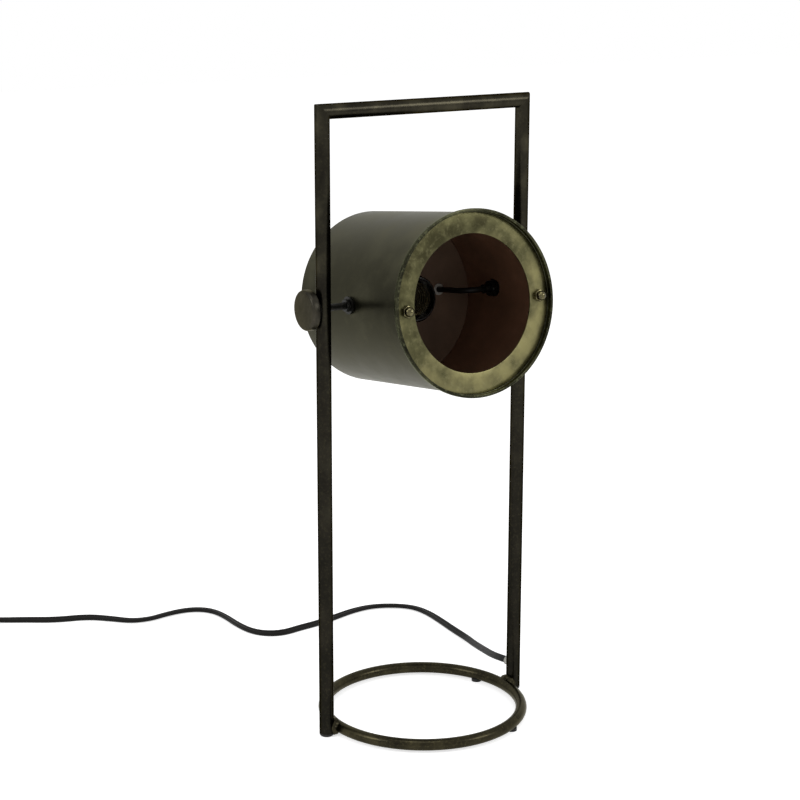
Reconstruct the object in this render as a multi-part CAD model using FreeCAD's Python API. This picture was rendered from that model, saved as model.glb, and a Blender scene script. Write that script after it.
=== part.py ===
"""Tabletop searchlight lamp: a drum head that tilts between the uprights of a slim tube frame.

Millimetres, +Z up. The origin is the centre of the base ring on the table. The uprights stand
at -X and +X, the head tilts about an axis along X and its open front faces -Y.
"""

import FreeCAD, Part
import math
import os

V = FreeCAD.Vector
os.makedirs("parts", exist_ok=True)

# Frame: two uprights, a mitred top bar and a base ring
frame_height = 548.0
upright_spacing = 200.0
tube_diameter = 12.7
tube_wall = 1.5
ring_rod_diameter = 10.0
ring_weld_gap = 0.1
weld_radius = 8.0
weld_rise = 0.6
weld_foot = 1.0
pad_radius = 4.6
pad_under_ring = 1.5
pad_saddle = 1.6
pad_angles = [22.0, 155.0, 299.0]
glide_height = 3.0
glide_round = 2.4
glide_stem_length = 12.0
glide_stem_clearance = 0.05

# Head: drum, rear plate and bezel, in the head's own frame (Z along the drum to the front)
pivot_height = 380.0
axis_below_pivot = 3.0
head_tilt = 7.0
drum_radius = 75.0
drum_wall = 1.2
drum_front = 78.5
drum_back = 81.5
rim_bead_radius = 1.7
rim_overhang = 3.0
mount_plate_behind_pivot = 42.0
plate_thickness = 1.2
plate_flange_length = 7.0
plate_fit_gap = 0.3
rear_cover_inset = 8.5
vent_count = 12
vent_radius = 3.0
vent_circle_radius = 52.0
standoff_radius = 3.0
standoff_circle_radius = 50.0
cover_screw_radius = 1.5
cover_screw_length = 6.0
cover_screw_head_radius = 3.2
cover_screw_head_height = 2.0
bezel_recess = 5.0
bezel_thickness = 1.5
bezel_fit_gap = 0.4
bezel_width = 17.5
lug_width = 10.0
lug_thickness = 1.5
lug_leg_length = 12.0
lug_reach = 5.5
bezel_stud_radius = 2.0
bezel_stud_front = 6.0
bezel_stud_head_radius = 3.4
bezel_stud_head_thickness = 1.8
cap_nut_flats = 8.2
cap_nut_base = 3.2
cap_nut_dome_radius = 3.9
cap_nut_total = 7.6
thread_gap = 0.05

# Lamp holder for an E27 screw base, clamped in the mount plate by a ring in front of it
holder_behind_pivot = 12.0
holder_radius = 20.0
holder_wall = 2.2
clamp_ring_radius = 23.5
clamp_ring_height = 4.0
holder_cap_radius = 19.0
holder_cap_wall = 2.5
holder_cap_round = 4.0
holder_cap_length = 20.0
cap_shoulder_radius = 21.5
cap_shoulder_height = 3.0
holder_hole_gap = 0.1
shell_bore_radius = 13.4
shell_wall = 0.5
shell_length = 23.5
shell_below_front = 1.0
core_well_depth = 5.0
core_thickness = 6.0
core_rim_wall = 1.8
core_rim_height = 9.0
contact_radius = 3.2
contact_height = 4.5

# Pivots: a solid stud on the left, a hollow one that passes the lead on the right
stud_radius = 3.0
hollow_stud_radius = 4.0
hollow_stud_bore_radius = 2.75
running_clearance = 0.1
stud_inner_end = 61.0
stud_into_knob = 5.0
drum_washer_radius = 7.5
drum_washer_thickness = 1.5
washer_wall_gap = 0.1
thin_nut_thickness = 3.0
inner_nut_thickness = 4.5
left_nut_flats = 10.0
right_nut_flats = 13.0
lead_window_length = 7.0
knob_radius = 17.0
knob_thickness = 8.0
knob_edge_round = 2.2
knob_hub_radius = 7.0
knob_hub_length = 3.2
knob_face_gap = 0.15
knob_washer_radius = 8.0
knob_washer_thickness = 1.3
knob_washer_gap = 0.05

# Mains lead: a flat twin cord, shown by its width
cord_diameter = 5.4
cord_lift = cord_diameter / 2
exit_height = 25.0
exit_angle = 3.0
grommet_bore_gap = 0.1
grommet_neck_radius = 3.6
grommet_flange_radius = 4.4
grommet_flange_thickness = 2.2
grommet_inside = 0.8
lead_radius = 2.4
head_lead_radius = 2.5
head_lead_x = 42.0
plate_grommet_neck_radius = 3.6
plate_grommet_flange_radius = 5.0
plate_grommet_flange_thickness = 1.0
plate_grommet_bore_gap = 0.3
head_lead_turn_in = 8.0
head_lead_turn_down = 9.0

# Where the lead lies, from the grommet to the switch, and from the switch to the coil
switch_entry_height = 6.5
route_to_switch = [
    (100.0, 21.0, 23.2),
    (104.5, 40.0, 19.0),
    (113.5, 66.0, 13.3),
    (124.0, 97.0, 7.0),
    (132.5, 124.0, 3.2),
    (135.0, 150.0, cord_lift),
    (138.2, 178.0, cord_lift),
    (140.0, 204.0, cord_lift),
    (136.5, 225.0, cord_lift),
    (123.0, 240.0, cord_lift),
    (102.0, 250.5, cord_lift),
    (78.0, 250.0, cord_lift),
    (52.0, 243.0, cord_lift),
    (28.0, 237.5, cord_lift),
    (8.0, 236.0, cord_lift),
    (-8.5, 233.0, cord_lift),
    (-21.5, 235.6, cord_lift),
    (-32.5, 244.5, cord_lift),
    (-38.5, 258.5, cord_lift),
    (-40.5, 279.0, cord_lift),
    (-40.0, 301.0, cord_lift),
    (-42.0, 321.5, cord_lift),
    (-50.0, 335.5, cord_lift),
    (-65.0, 343.0, cord_lift),
    (-86.0, 343.0, cord_lift),
    (-108.0, 338.8, cord_lift),
    (-126.5, 344.0, cord_lift),
    (-140.5, 360.5, cord_lift),
    (-159.0, 378.5, cord_lift),
    (-190.0, 387.5, cord_lift),
    (-215.0, 404.0, cord_lift),
    (-240.0, 418.5, cord_lift),
    (-266.0, 429.0, switch_entry_height),
]
coil_centre_x = -359.6
coil_centre_y = 408.0
coil_turns_across = 2
coil_layers = 2
coil_mean_radius = 31.0
coil_step = cord_diameter
plug_axis_height = 6.85
link_from_switch = [(-14.5, 6.8, -1.5), (-32.5, 5.5, -3.8), (-47.6, -4.3, -3.8)]
link_before_coil = 34.0
tail_points = [
    (-393.0, 391.0, 7.9),
    (-391.0, 371.0, 5.2),
    (-388.0, 349.0, 2.8),
    (-386.5, 327.0, 3.6),
    (-387.0, 306.0, plug_axis_height),
]

# In-line rocker switch
switch_length = 60.0
switch_width = 26.0
switch_height = 18.0
switch_split = 9.0
switch_wall = 1.8
switch_corner_round = 5.0
switch_edge_round = 2.0
switch_relief_length = 9.0
switch_relief_thin = 3.5
switch_relief_thick = 4.6
rocker_length = 16.0
rocker_width = 10.0
rocker_gap = 0.6
rocker_rise = 2.2
rocker_body_depth = 6.0
rocker_tilt = 7.0
rocker_pin_radius = 1.3
rocker_pin_length = 1.6
rocker_pin_below_top = 2.6
cheek_thickness = 1.8
cheek_depth = 5.0
cheek_length = 7.0
contact_plate_thickness = 1.0
contact_plate_length = 14.0
contact_plate_width = 5.0
contact_plate_height = 3.0
switch_screw_offset = 23.0
switch_screw_radius = 1.4
switch_screw_head_radius = 2.6
switch_screw_head_height = 1.6
switch_screw_length = 11.0
switch_post_radius = 3.0

# Flat two-pin plug, lying on its side of the coil and pointing along -Y
plug_width = 35.3
plug_thickness = 13.7
plug_body_length = 36.0
plug_back_width = 14.0
plug_edge_round = 3.0
plug_pin_radius = 2.0
plug_pin_length = 19.0
plug_pin_spacing = 18.6
plug_pin_seat = 8.0
plug_pin_seat_radius = 2.4
plug_pin_round = 1.0
plug_relief_length = 20.0
plug_relief_thin = 3.4
plug_relief_thick = 5.2
plug_taper_share = 0.45

tube_radius = tube_diameter / 2
tube_bore_radius = tube_radius - tube_wall
rod_radius = ring_rod_diameter / 2
upright_x = upright_spacing / 2
ring_radius = upright_x - tube_radius - rod_radius - ring_weld_gap
ring_height = pad_under_ring + rod_radius
bar_height = frame_height - tube_radius
drum_bore_radius = drum_radius - drum_wall
aperture_radius = drum_radius - bezel_width
bezel_face = drum_front - bezel_recess
bezel_back = bezel_face - bezel_thickness
bezel_radius = drum_bore_radius - bezel_fit_gap
stud_circle_radius = (aperture_radius + drum_bore_radius) / 2
plate_front = -mount_plate_behind_pivot
plate_back = plate_front - plate_thickness
plate_radius = drum_bore_radius - plate_fit_gap
cover_back = rear_cover_inset - drum_back
cover_front = cover_back + plate_thickness
holder_front = -holder_behind_pivot
holder_split = plate_front + clamp_ring_height
shell_back = holder_front - shell_below_front - shell_length
core_floor = shell_back - core_well_depth
cap_back = plate_back - holder_cap_length
cord_radius = cord_diameter / 2
coil_outer_radius = coil_mean_radius + coil_step * (coil_turns_across - 1) / 2
coil_band = coil_step * coil_turns_across / 2
switch_direction = V(-30.0, 14.0, 0).normalize()


def save(name, shape):
    """Write one named sub-part and print its size."""
    if not shape.isValid():
        print("NOT VALID", name)
    shape.exportStep("parts/" + name + ".step")
    print(f"{name}: {len(shape.Solids)} solid(s), {shape.Volume:.1f} mm3")


def group(shapes):
    """Several separate solids of one node."""
    return Part.makeCompound([solid for shape in shapes for solid in shape.Solids])


def rod(radius, start, end):
    """A round bar between two points."""
    return Part.makeCylinder(radius, (end - start).Length, start, end - start)


def pipe(outer, inner, start, end):
    """A round tube between two points."""
    return rod(outer, start, end).cut(rod(inner, start, end))


def box(low, high):
    """A box from its low and high corners."""
    return Part.makeBox(high[0] - low[0], high[1] - low[1], high[2] - low[2], V(*low))


def hexagon(flats, start, end):
    """A six-sided bar between two points, by its width across flats."""
    along = (end - start).normalize()
    side = V(0, 0, 1) if abs(along.z) < 0.5 else V(1, 0, 0)
    other = along.cross(side)
    reach = flats / math.sqrt(3)
    corners = []
    for k in range(7):
        turn = math.radians(60 * k)
        corners.append(start + side * (reach * math.cos(turn)) + other * (reach * math.sin(turn)))
    return Part.Face(Part.makePolygon(corners)).extrude(end - start)


def nut(flats, bore, start, end):
    """A hexagon nut with its corners eased."""
    along = (end - start).normalize()
    reach = flats / math.sqrt(3)
    ease = (reach - flats / 2) * 0.9
    body = hexagon(flats, start, end).common(rod(reach, start, end))
    top = Part.makeCone(reach, reach - ease, ease, end - along * ease, along)
    lower = rod(reach, start, end - along * ease)
    return body.common(lower.fuse(top)).cut(rod(bore, start, end))


def revolve(points):
    """A solid of revolution about Z from (radius, height) corners."""
    corners = [V(r, 0, z) for r, z in points]
    face = Part.Face(Part.makePolygon(corners + corners[:1]))
    return face.revolve(V(0, 0, 0), V(0, 0, 1), 360)


def place_head(shape):
    """Move a shape from the head's own frame, Z along the drum, to the lamp's frame."""
    turn = FreeCAD.Rotation(V(1, 0, 0), 90 - head_tilt)
    centre = V(0, 0, pivot_height) - turn.multVec(V(0, axis_below_pivot, 0))
    moved = shape.copy()
    moved.Placement = FreeCAD.Placement(centre, turn).multiply(moved.Placement)
    return moved


def cord_path(points):
    """Straight runs joined by tangent arcs, each as large as its two runs allow."""
    edges = []
    radii = []
    at = points[0]
    for before, corner, after in zip(points, points[1:], points[2:]):
        back = (before - corner).normalize()
        ahead = (after - corner).normalize()
        half_turn = (math.pi - back.getAngle(ahead)) / 2
        reach = 0.45 * min((before - corner).Length, (after - corner).Length)
        radius = reach / math.tan(half_turn)
        radii.append(radius)
        start = corner + back * reach
        end = corner + ahead * reach
        middle_way = (back + ahead).normalize()
        middle = corner + middle_way * (radius / math.cos(half_turn) - radius)
        edges.append(Part.LineSegment(at, start).toShape())
        edges.append(Part.Arc(start, middle, end).toShape())
        at = end
    edges.append(Part.LineSegment(at, points[-1]).toShape())
    return Part.Wire(edges), radii


def cord_tube(name, points, radius):
    """A round tube along a cord's path; prints its bends and checks its volume."""
    wire, radii = cord_path(points)
    first = (points[1] - points[0]).normalize()
    section = Part.Wire([Part.Circle(points[0], first, radius).toShape()])
    tube = wire.makePipeShell([section], True, False)
    share = tube.Volume / (math.pi * radius**2 * wire.Length)
    print(f"{name}: length {wire.Length:.1f}, tightest {min(radii):.1f}, volume share {share:.4f}")
    print("  radii", " ".join(f"{r:.0f}" for r in radii))
    return tube, wire.Length


def mitre_wedge(side, above):
    """All that lies above, or below, the mitre at one top corner (-1 is left, 1 is right)."""
    reach = upright_spacing
    corner = V(side * upright_x, 0, bar_height)
    outer = corner + V(side * reach, -reach, reach)
    inner = corner + V(-side * reach, -reach, -reach)
    third = V(inner.x, -reach, outer.z) if above else V(outer.x, -reach, inner.z)
    return Part.Face(Part.makePolygon([outer, inner, third, outer])).extrude(V(0, 2 * reach, 0))


def exit_direction():
    """The way the lead leaves the right upright: back and a little inwards."""
    turn = math.radians(exit_angle)
    return V(-math.sin(turn), math.cos(turn), 0)


def build_upright(side):
    """One upright: mitred at the top, open at the foot, drilled for its pivot."""
    foot = V(side * upright_x, 0, glide_height)
    top = V(side * upright_x, 0, frame_height + tube_radius)
    tube = pipe(tube_radius, tube_bore_radius, foot, top)
    tube = tube.cut(mitre_wedge(side, True))
    pivot = stud_radius if side < 0 else hollow_stud_radius
    left = V(side * upright_x - tube_diameter, 0, pivot_height)
    right = V(side * upright_x + tube_diameter, 0, pivot_height)
    tube = tube.cut(rod(pivot + running_clearance, left, right))
    if side > 0:
        axis = V(upright_x, 0, exit_height)
        tube = tube.cut(rod(grommet_neck_radius, axis, axis + exit_direction() * tube_diameter))
    return tube


def build_frame():
    """The welded frame, its feet and the pieces in it."""
    save("left_upright", build_upright(-1))
    save("right_upright", build_upright(1))
    half = upright_x + tube_radius
    bar = pipe(tube_radius, tube_bore_radius, V(-half, 0, bar_height), V(half, 0, bar_height))
    save("top_bar", bar.cut(mitre_wedge(-1, False)).cut(mitre_wedge(1, False)))

    ring = Part.makeTorus(ring_radius, rod_radius, V(0, 0, ring_height))
    save("base_ring", ring)
    for side, name in ((-1, "left_weld"), (1, "right_weld")):
        seat = V(side * (upright_x - tube_radius), 0, ring_height + weld_rise)
        bead = Part.makeSphere(weld_radius, seat)
        reach = 2 * weld_radius
        floor = box((seat.x - reach, -reach, -reach), (seat.x + reach, reach, weld_foot))
        foot = V(side * upright_x, 0, 0)
        tube_top = foot + V(0, 0, ring_height + 2 * weld_radius)
        upright = rod(tube_radius, foot - V(0, 0, weld_radius), tube_top)
        bead = bead.cut(floor).cut(upright).cut(ring)
        save(name, group([max(bead.Solids, key=lambda s: s.Volume)]))

    pads = []
    for degrees in pad_angles:
        angle = math.radians(degrees)
        foot = V(ring_radius * math.cos(angle), ring_radius * math.sin(angle), 0)
        pad = rod(pad_radius, foot, foot + V(0, 0, pad_under_ring + pad_saddle))
        pads.append(pad.cut(ring))
    save("ring_pads", group(pads))

    glides = []
    for side in (-1, 1):
        foot = V(side * upright_x, 0, 0)
        tip = rod(tube_radius, foot, foot + V(0, 0, glide_height))
        lowest = [e for e in tip.Edges if e.BoundBox.ZMax < glide_height / 2 and e.Closed]
        tip = tip.makeFillet(glide_round, lowest)
        stem_radius = tube_bore_radius - glide_stem_clearance
        stem_foot = foot + V(0, 0, glide_height)
        stem = rod(stem_radius, stem_foot, stem_foot + V(0, 0, glide_stem_length))
        glides.append(tip.fuse(stem).removeSplitter())
    save("upright_glides", group(glides))

    washers = []
    for side, pivot in ((-1, stud_radius), (1, hollow_stud_radius)):
        near = side * (upright_x + tube_radius + knob_washer_gap)
        far = near + side * knob_washer_thickness
        washers.append(
            pipe(
                knob_washer_radius,
                pivot + running_clearance,
                V(near, 0, pivot_height),
                V(far, 0, pivot_height),
            )
        )
    save("knob_washers", group(washers))

    axis = V(upright_x, 0, exit_height)
    out = exit_direction()
    bore = cord_radius + grommet_bore_gap
    neck_start = axis + out * (tube_bore_radius - grommet_inside)
    flange_start = axis + out * tube_radius
    mouth = flange_start + out * grommet_flange_thickness
    grommet = rod(grommet_neck_radius, neck_start, flange_start)
    flange = rod(grommet_flange_radius, axis + out * (tube_radius - grommet_flange_thickness), mouth)
    flange = flange.cut(rod(tube_radius, axis - V(0, 0, 20), axis + V(0, 0, 20)))
    grommet = grommet.fuse(flange).removeSplitter()
    grommet = grommet.cut(rod(bore, axis, axis + out * (tube_diameter * 2)))
    save("cord_grommet", grommet)

    top = pivot_height - hollow_stud_radius - 4 * running_clearance
    riser = rod(lead_radius, axis, V(upright_x, 0, top))
    elbow = Part.makeSphere(lead_radius, axis)
    stub = rod(lead_radius, axis, mouth)
    save("upright_lead", riser.fuse(elbow).fuse(stub).removeSplitter())
    return mouth


def flanged_disc(back, bore):
    """A pressed disc with its rim turned to the back, as the drum's plates are."""
    outer = plate_radius
    inner = plate_radius - plate_thickness
    front = back + plate_thickness
    end = front - plate_flange_length
    return revolve([(bore, back), (inner, back), (inner, end), (outer, end), (outer, front), (bore, front)])


def build_mount_plate():
    """The plate that carries the lamp holder, with a hole for the holder and one for the lead."""
    plate = flanged_disc(plate_back, holder_cap_radius + holder_hole_gap)
    at = V(head_lead_x, axis_below_pivot, plate_back)
    return plate.cut(rod(plate_grommet_neck_radius, at - V(0, 0, 5), at + V(0, 0, 5)))


def build_rear_cover():
    """The vented cover inside the drum's rear edge, on two standoffs behind the mount plate."""
    cover = revolve(
        [
            (0, cover_back),
            (plate_radius, cover_back),
            (plate_radius, cover_back + plate_flange_length),
            (plate_radius - plate_thickness, cover_back + plate_flange_length),
            (plate_radius - plate_thickness, cover_front),
            (0, cover_front),
        ]
    )
    for k in range(vent_count):
        angle = math.radians(360 / vent_count * (k + 0.5))
        at = V(vent_circle_radius * math.cos(angle), vent_circle_radius * math.sin(angle), cover_back - 1)
        cover = cover.cut(rod(vent_radius, at, at + V(0, 0, plate_thickness + 2)))
    standoffs = []
    screws = []
    clear = cover_screw_radius + thread_gap
    for side in (-1, 1):
        foot = V(0, side * standoff_circle_radius, cover_front)
        tip = foot + V(0, 0, cover_screw_length)
        seat = foot - V(0, 0, plate_thickness)
        cover = cover.cut(rod(clear, seat - V(0, 0, 1), foot))
        post = rod(standoff_radius, foot, V(foot.x, foot.y, plate_back))
        standoffs.append(post.cut(rod(clear, foot, tip + V(0, 0, thread_gap))))
        head = rod(cover_screw_head_radius, seat - V(0, 0, cover_screw_head_height), seat)
        screws.append(head.fuse(rod(cover_screw_radius, seat, tip)).removeSplitter())
    save("rear_cover", place_head(cover))
    save("rear_standoffs", place_head(group(standoffs)))
    save("rear_cover_screws", place_head(group(screws)))


def build_drum():
    """The drum shell with its rolled front rim, its two plates and the bezel."""
    wall = revolve(
        [
            (drum_bore_radius, -drum_back),
            (drum_radius, -drum_back),
            (drum_radius, drum_front - rim_bead_radius),
            (drum_bore_radius, drum_front - rim_bead_radius),
        ]
    )
    bead_radius_at = drum_radius + rim_overhang - rim_bead_radius
    bead = Part.makeTorus(bead_radius_at, rim_bead_radius, V(0, 0, drum_front - rim_bead_radius))
    lip = revolve(
        [
            (drum_bore_radius, drum_front - 2 * rim_bead_radius),
            (bead_radius_at, drum_front - 2 * rim_bead_radius),
            (bead_radius_at, drum_front),
            (drum_bore_radius + rim_bead_radius, drum_front),
            (drum_bore_radius, drum_front - rim_bead_radius),
        ]
    )
    shell = wall.fuse(lip).fuse(bead).removeSplitter()
    for side, pivot in ((-1, stud_radius), (1, hollow_stud_radius)):
        start = V(side * (drum_bore_radius - 10), axis_below_pivot, 0)
        end = V(side * (drum_radius + 10), axis_below_pivot, 0)
        shell = shell.cut(rod(pivot + thread_gap, start, end))
    save("drum_shell", place_head(shell))

    save("mount_plate", place_head(build_mount_plate()))
    build_rear_cover()

    bezel = revolve(
        [
            (aperture_radius, bezel_back),
            (bezel_radius, bezel_back),
            (bezel_radius, bezel_face),
            (aperture_radius, bezel_face),
        ]
    )
    lugs = []
    studs = []
    cap_nuts = []
    for side in (-1, 1):
        at = V(side * stud_circle_radius, 0, 0)
        low = V(at.x, 0, bezel_back - lug_leg_length)
        high = V(at.x, 0, bezel_face + lug_leg_length)
        hole = rod(bezel_stud_radius + thread_gap, low, high)
        bezel = bezel.cut(hole)
        ring = revolve(
            [
                (stud_circle_radius - lug_reach, bezel_back - lug_thickness),
                (drum_bore_radius, bezel_back - lug_thickness),
                (drum_bore_radius, bezel_back),
                (stud_circle_radius - lug_reach, bezel_back),
            ]
        )
        leg = revolve(
            [
                (drum_bore_radius - lug_thickness, bezel_back - lug_leg_length),
                (drum_bore_radius, bezel_back - lug_leg_length),
                (drum_bore_radius, bezel_back - lug_thickness),
                (drum_bore_radius - lug_thickness, bezel_back - lug_thickness),
            ]
        )
        rim = side * drum_radius
        window = box((min(0, rim), -lug_width / 2, low.z), (max(0, rim), lug_width / 2, high.z))
        lugs.append(ring.fuse(leg).common(window).removeSplitter().cut(hole))
        head_top = bezel_back - lug_thickness
        head_seat = at + V(0, 0, head_top)
        head = rod(bezel_stud_head_radius, head_seat - V(0, 0, bezel_stud_head_thickness), head_seat)
        shank = rod(bezel_stud_radius, at + V(0, 0, head_top), at + V(0, 0, bezel_face + bezel_stud_front))
        studs.append(head.fuse(shank).removeSplitter())
        nut_seat = at + V(0, 0, bezel_face)
        base = hexagon(cap_nut_flats, nut_seat, nut_seat + V(0, 0, cap_nut_base))
        neck_top = bezel_face + cap_nut_total - cap_nut_dome_radius
        neck = rod(cap_nut_dome_radius, nut_seat, at + V(0, 0, neck_top))
        dome = Part.makeSphere(cap_nut_dome_radius, at + V(0, 0, neck_top))
        dome = dome.common(rod(cap_nut_flats, nut_seat, nut_seat + V(0, 0, 2 * cap_nut_total)))
        thread = rod(bezel_stud_radius + thread_gap, nut_seat, nut_seat + V(0, 0, bezel_stud_front))
        cap_nuts.append(base.fuse(neck).fuse(dome).removeSplitter().cut(thread))
    save("bezel_ring", place_head(bezel))
    save("bezel_lugs", place_head(group(lugs)))
    save("bezel_studs", place_head(group(studs)))
    save("bezel_cap_nuts", place_head(group(cap_nuts)))


def build_holder():
    """The lamp holder: cap, clamp ring, skirt, screw shell, insulating core and centre contact."""
    cap = revolve(
        [
            (0, cap_back),
            (holder_cap_radius - holder_cap_round, cap_back),
            (holder_cap_radius, cap_back + holder_cap_round),
            (holder_cap_radius, plate_back - cap_shoulder_height),
            (cap_shoulder_radius, plate_back - cap_shoulder_height),
            (cap_shoulder_radius, plate_back),
            (holder_cap_radius, plate_back),
            (holder_cap_radius, holder_split),
            (holder_cap_radius - holder_cap_wall, holder_split),
            (holder_cap_radius - holder_cap_wall, cap_back + holder_cap_wall + holder_cap_round),
            (holder_cap_radius - holder_cap_wall - holder_cap_round, cap_back + holder_cap_wall),
            (0, cap_back + holder_cap_wall),
        ]
    )
    lead_height = cap_back + holder_cap_wall + holder_cap_round + head_lead_radius
    lead_axis = V(0, 0, lead_height)
    lead_hole = rod(head_lead_radius + thread_gap, lead_axis, lead_axis + V(clamp_ring_radius, 0, 0))
    save("holder_cap", place_head(cap.cut(lead_hole)))
    ring = pipe(
        clamp_ring_radius,
        holder_cap_radius + thread_gap,
        V(0, 0, plate_front),
        V(0, 0, holder_split),
    )
    ease = [e for e in ring.Edges if e.Closed and e.BoundBox.XLength > 2 * holder_radius + 1]
    save("holder_clamp_ring", place_head(ring.makeChamfer(0.8, ease)))

    skirt = revolve(
        [
            (holder_cap_radius - holder_cap_wall, holder_split),
            (holder_radius - 0.6, holder_split),
            (holder_radius, holder_split + 1.5),
            (holder_radius, holder_front - 1.2),
            (holder_radius - 1.2, holder_front),
            (holder_radius - holder_wall, holder_front),
            (holder_radius - holder_wall, holder_split + 3),
            (holder_cap_radius - holder_cap_wall, holder_split + 1.5),
        ]
    )
    save("holder_skirt", place_head(skirt))

    outer = shell_bore_radius + shell_wall
    screw_shell = revolve(
        [
            (shell_bore_radius, shell_back),
            (outer, shell_back),
            (outer, shell_back + shell_length),
            (shell_bore_radius, shell_back + shell_length),
        ]
    )
    save("holder_screw_shell", place_head(screw_shell))

    core_radius = holder_cap_radius - holder_cap_wall
    core = revolve(
        [
            (0, core_floor - core_thickness),
            (core_radius, core_floor - core_thickness),
            (core_radius, holder_split),
            (outer + core_rim_wall, holder_split),
            (outer + core_rim_wall, shell_back + core_rim_height),
            (outer, shell_back + core_rim_height),
            (outer, shell_back),
            (shell_bore_radius + shell_wall / 2, shell_back),
            (shell_bore_radius + shell_wall / 2, core_floor),
            (0, core_floor),
        ]
    )
    save("holder_core", place_head(core))
    contact = revolve(
        [
            (0, core_floor),
            (contact_radius, core_floor),
            (contact_radius * 0.6, core_floor + contact_height),
            (0, core_floor + contact_height),
        ]
    )
    save("holder_contact", place_head(contact))

    return lead_height


def build_pivots(lead_height):
    """The two pivot studs with their nuts and washers, and the lead through the right one."""
    inner_wall = math.sqrt(drum_bore_radius**2 - (axis_below_pivot + drum_washer_radius) ** 2)
    knob_face = upright_x + tube_radius + knob_washer_gap + knob_washer_thickness + knob_face_gap
    outer_end = knob_face + knob_hub_length + stud_into_knob
    sides = ((-1, stud_radius, left_nut_flats, "left"), (1, hollow_stud_radius, right_nut_flats, "right"))
    for side, radius, flats, name in sides:

        def on_axis(x):
            return V(side * x, axis_below_pivot, 0)

        stud = rod(radius, on_axis(stud_inner_end), on_axis(outer_end))
        if side > 0:
            bore_start = on_axis(stud_inner_end - 1)
            stud = stud.cut(rod(hollow_stud_bore_radius, bore_start, on_axis(outer_end + 1)))
            half = lead_window_length / 2
            window = box(
                (upright_x - half, axis_below_pivot - 2 * radius, -2 * radius),
                (upright_x + half, axis_below_pivot - 0.5, 2 * radius),
            )
            stud = stud.cut(window)
        save(name + "_pivot_stud", place_head(stud))
        seat = drum_radius + washer_wall_gap
        outside = seat + drum_washer_thickness
        inside = inner_wall - washer_wall_gap
        inside_end = inside - drum_washer_thickness
        bore = radius + thread_gap
        washers = [
            pipe(drum_washer_radius, bore, on_axis(seat), on_axis(outside)),
            pipe(drum_washer_radius, bore, on_axis(inside), on_axis(inside_end)),
        ]
        save(name + "_stud_washers", place_head(group(washers)))
        nuts = [
            nut(flats, bore, on_axis(outside), on_axis(outside + thin_nut_thickness)),
            nut(flats, bore, on_axis(inside_end), on_axis(inside_end - inner_nut_thickness)),
        ]
        save(name + "_stud_nuts", place_head(group(nuts)))

    turn_in = head_lead_turn_in
    turn_down = head_lead_turn_down
    route = [
        V(upright_x, axis_below_pivot, 0),
        V(head_lead_x + turn_in, axis_below_pivot, 0),
        V(head_lead_x, axis_below_pivot, -turn_down),
        V(head_lead_x, axis_below_pivot, plate_back - turn_in / 2),
        V(head_lead_x - turn_in, axis_below_pivot / 2, lead_height),
        V(holder_cap_radius - holder_cap_wall, 0, lead_height),
    ]
    lead, _ = cord_tube("head_lead", route, head_lead_radius)
    save("head_lead", place_head(lead))
    at = V(head_lead_x, axis_below_pivot, 0)
    rim = plate_grommet_flange_thickness
    bore = head_lead_radius + plate_grommet_bore_gap
    neck_back = at + V(0, 0, plate_back - rim)
    grommet = rod(plate_grommet_neck_radius, neck_back, at + V(0, 0, plate_front + rim))
    for face, way in ((plate_front, 1), (plate_back, -1)):
        flange = rod(plate_grommet_flange_radius, at + V(0, 0, face), at + V(0, 0, face + way * rim))
        grommet = grommet.fuse(flange)
    hole = rod(bore, at + V(0, 0, plate_back - 5), at + V(0, 0, plate_front + 5))
    save("plate_grommet", place_head(grommet.removeSplitter().cut(hole)))


def build_knobs():
    """The two clamping knobs, each a plain disc with a hub, screwed on its stud's end."""
    face = upright_x + tube_radius + knob_washer_gap + knob_washer_thickness + knob_face_gap
    for side, radius, name in ((-1, stud_radius, "left_knob"), (1, hollow_stud_radius, "right_knob")):

        def on_axis(x):
            return V(side * x, 0, pivot_height)

        disc_start = face + knob_hub_length
        disc = rod(knob_radius, on_axis(disc_start), on_axis(disc_start + knob_thickness))
        rims = [e for e in disc.Edges if e.Closed and e.BoundBox.XLength < 0.01]
        disc = disc.makeFillet(knob_edge_round, rims)
        hub = rod(knob_hub_radius, on_axis(face), on_axis(disc_start + 1))
        hole = rod(
            radius + running_clearance,
            on_axis(face - 1),
            on_axis(disc_start + stud_into_knob + running_clearance),
        )
        save(name, disc.fuse(hub).removeSplitter().cut(hole))


def switch_place(shape):
    """Move a shape from the switch's own frame, X along the lead, to where the switch lies."""
    entry = V(*route_to_switch[-1])
    centre = entry + switch_direction * (switch_relief_length + switch_length / 2)
    turn = FreeCAD.Rotation(V(1, 0, 0), switch_direction)
    moved = shape.copy()
    moved.Placement = FreeCAD.Placement(V(centre.x, centre.y, 0), turn).multiply(moved.Placement)
    return moved


def rounded_block(low, high, corner, edge):
    """A box with round upright corners and eased top and bottom edges."""
    block = box(low, high)
    block = block.makeFillet(corner, [e for e in block.Edges if e.BoundBox.ZLength > 1])
    if edge:
        flat = [e for e in block.Edges if e.BoundBox.ZLength < 0.01]
        block = block.makeFillet(edge, flat)
    return block


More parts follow.
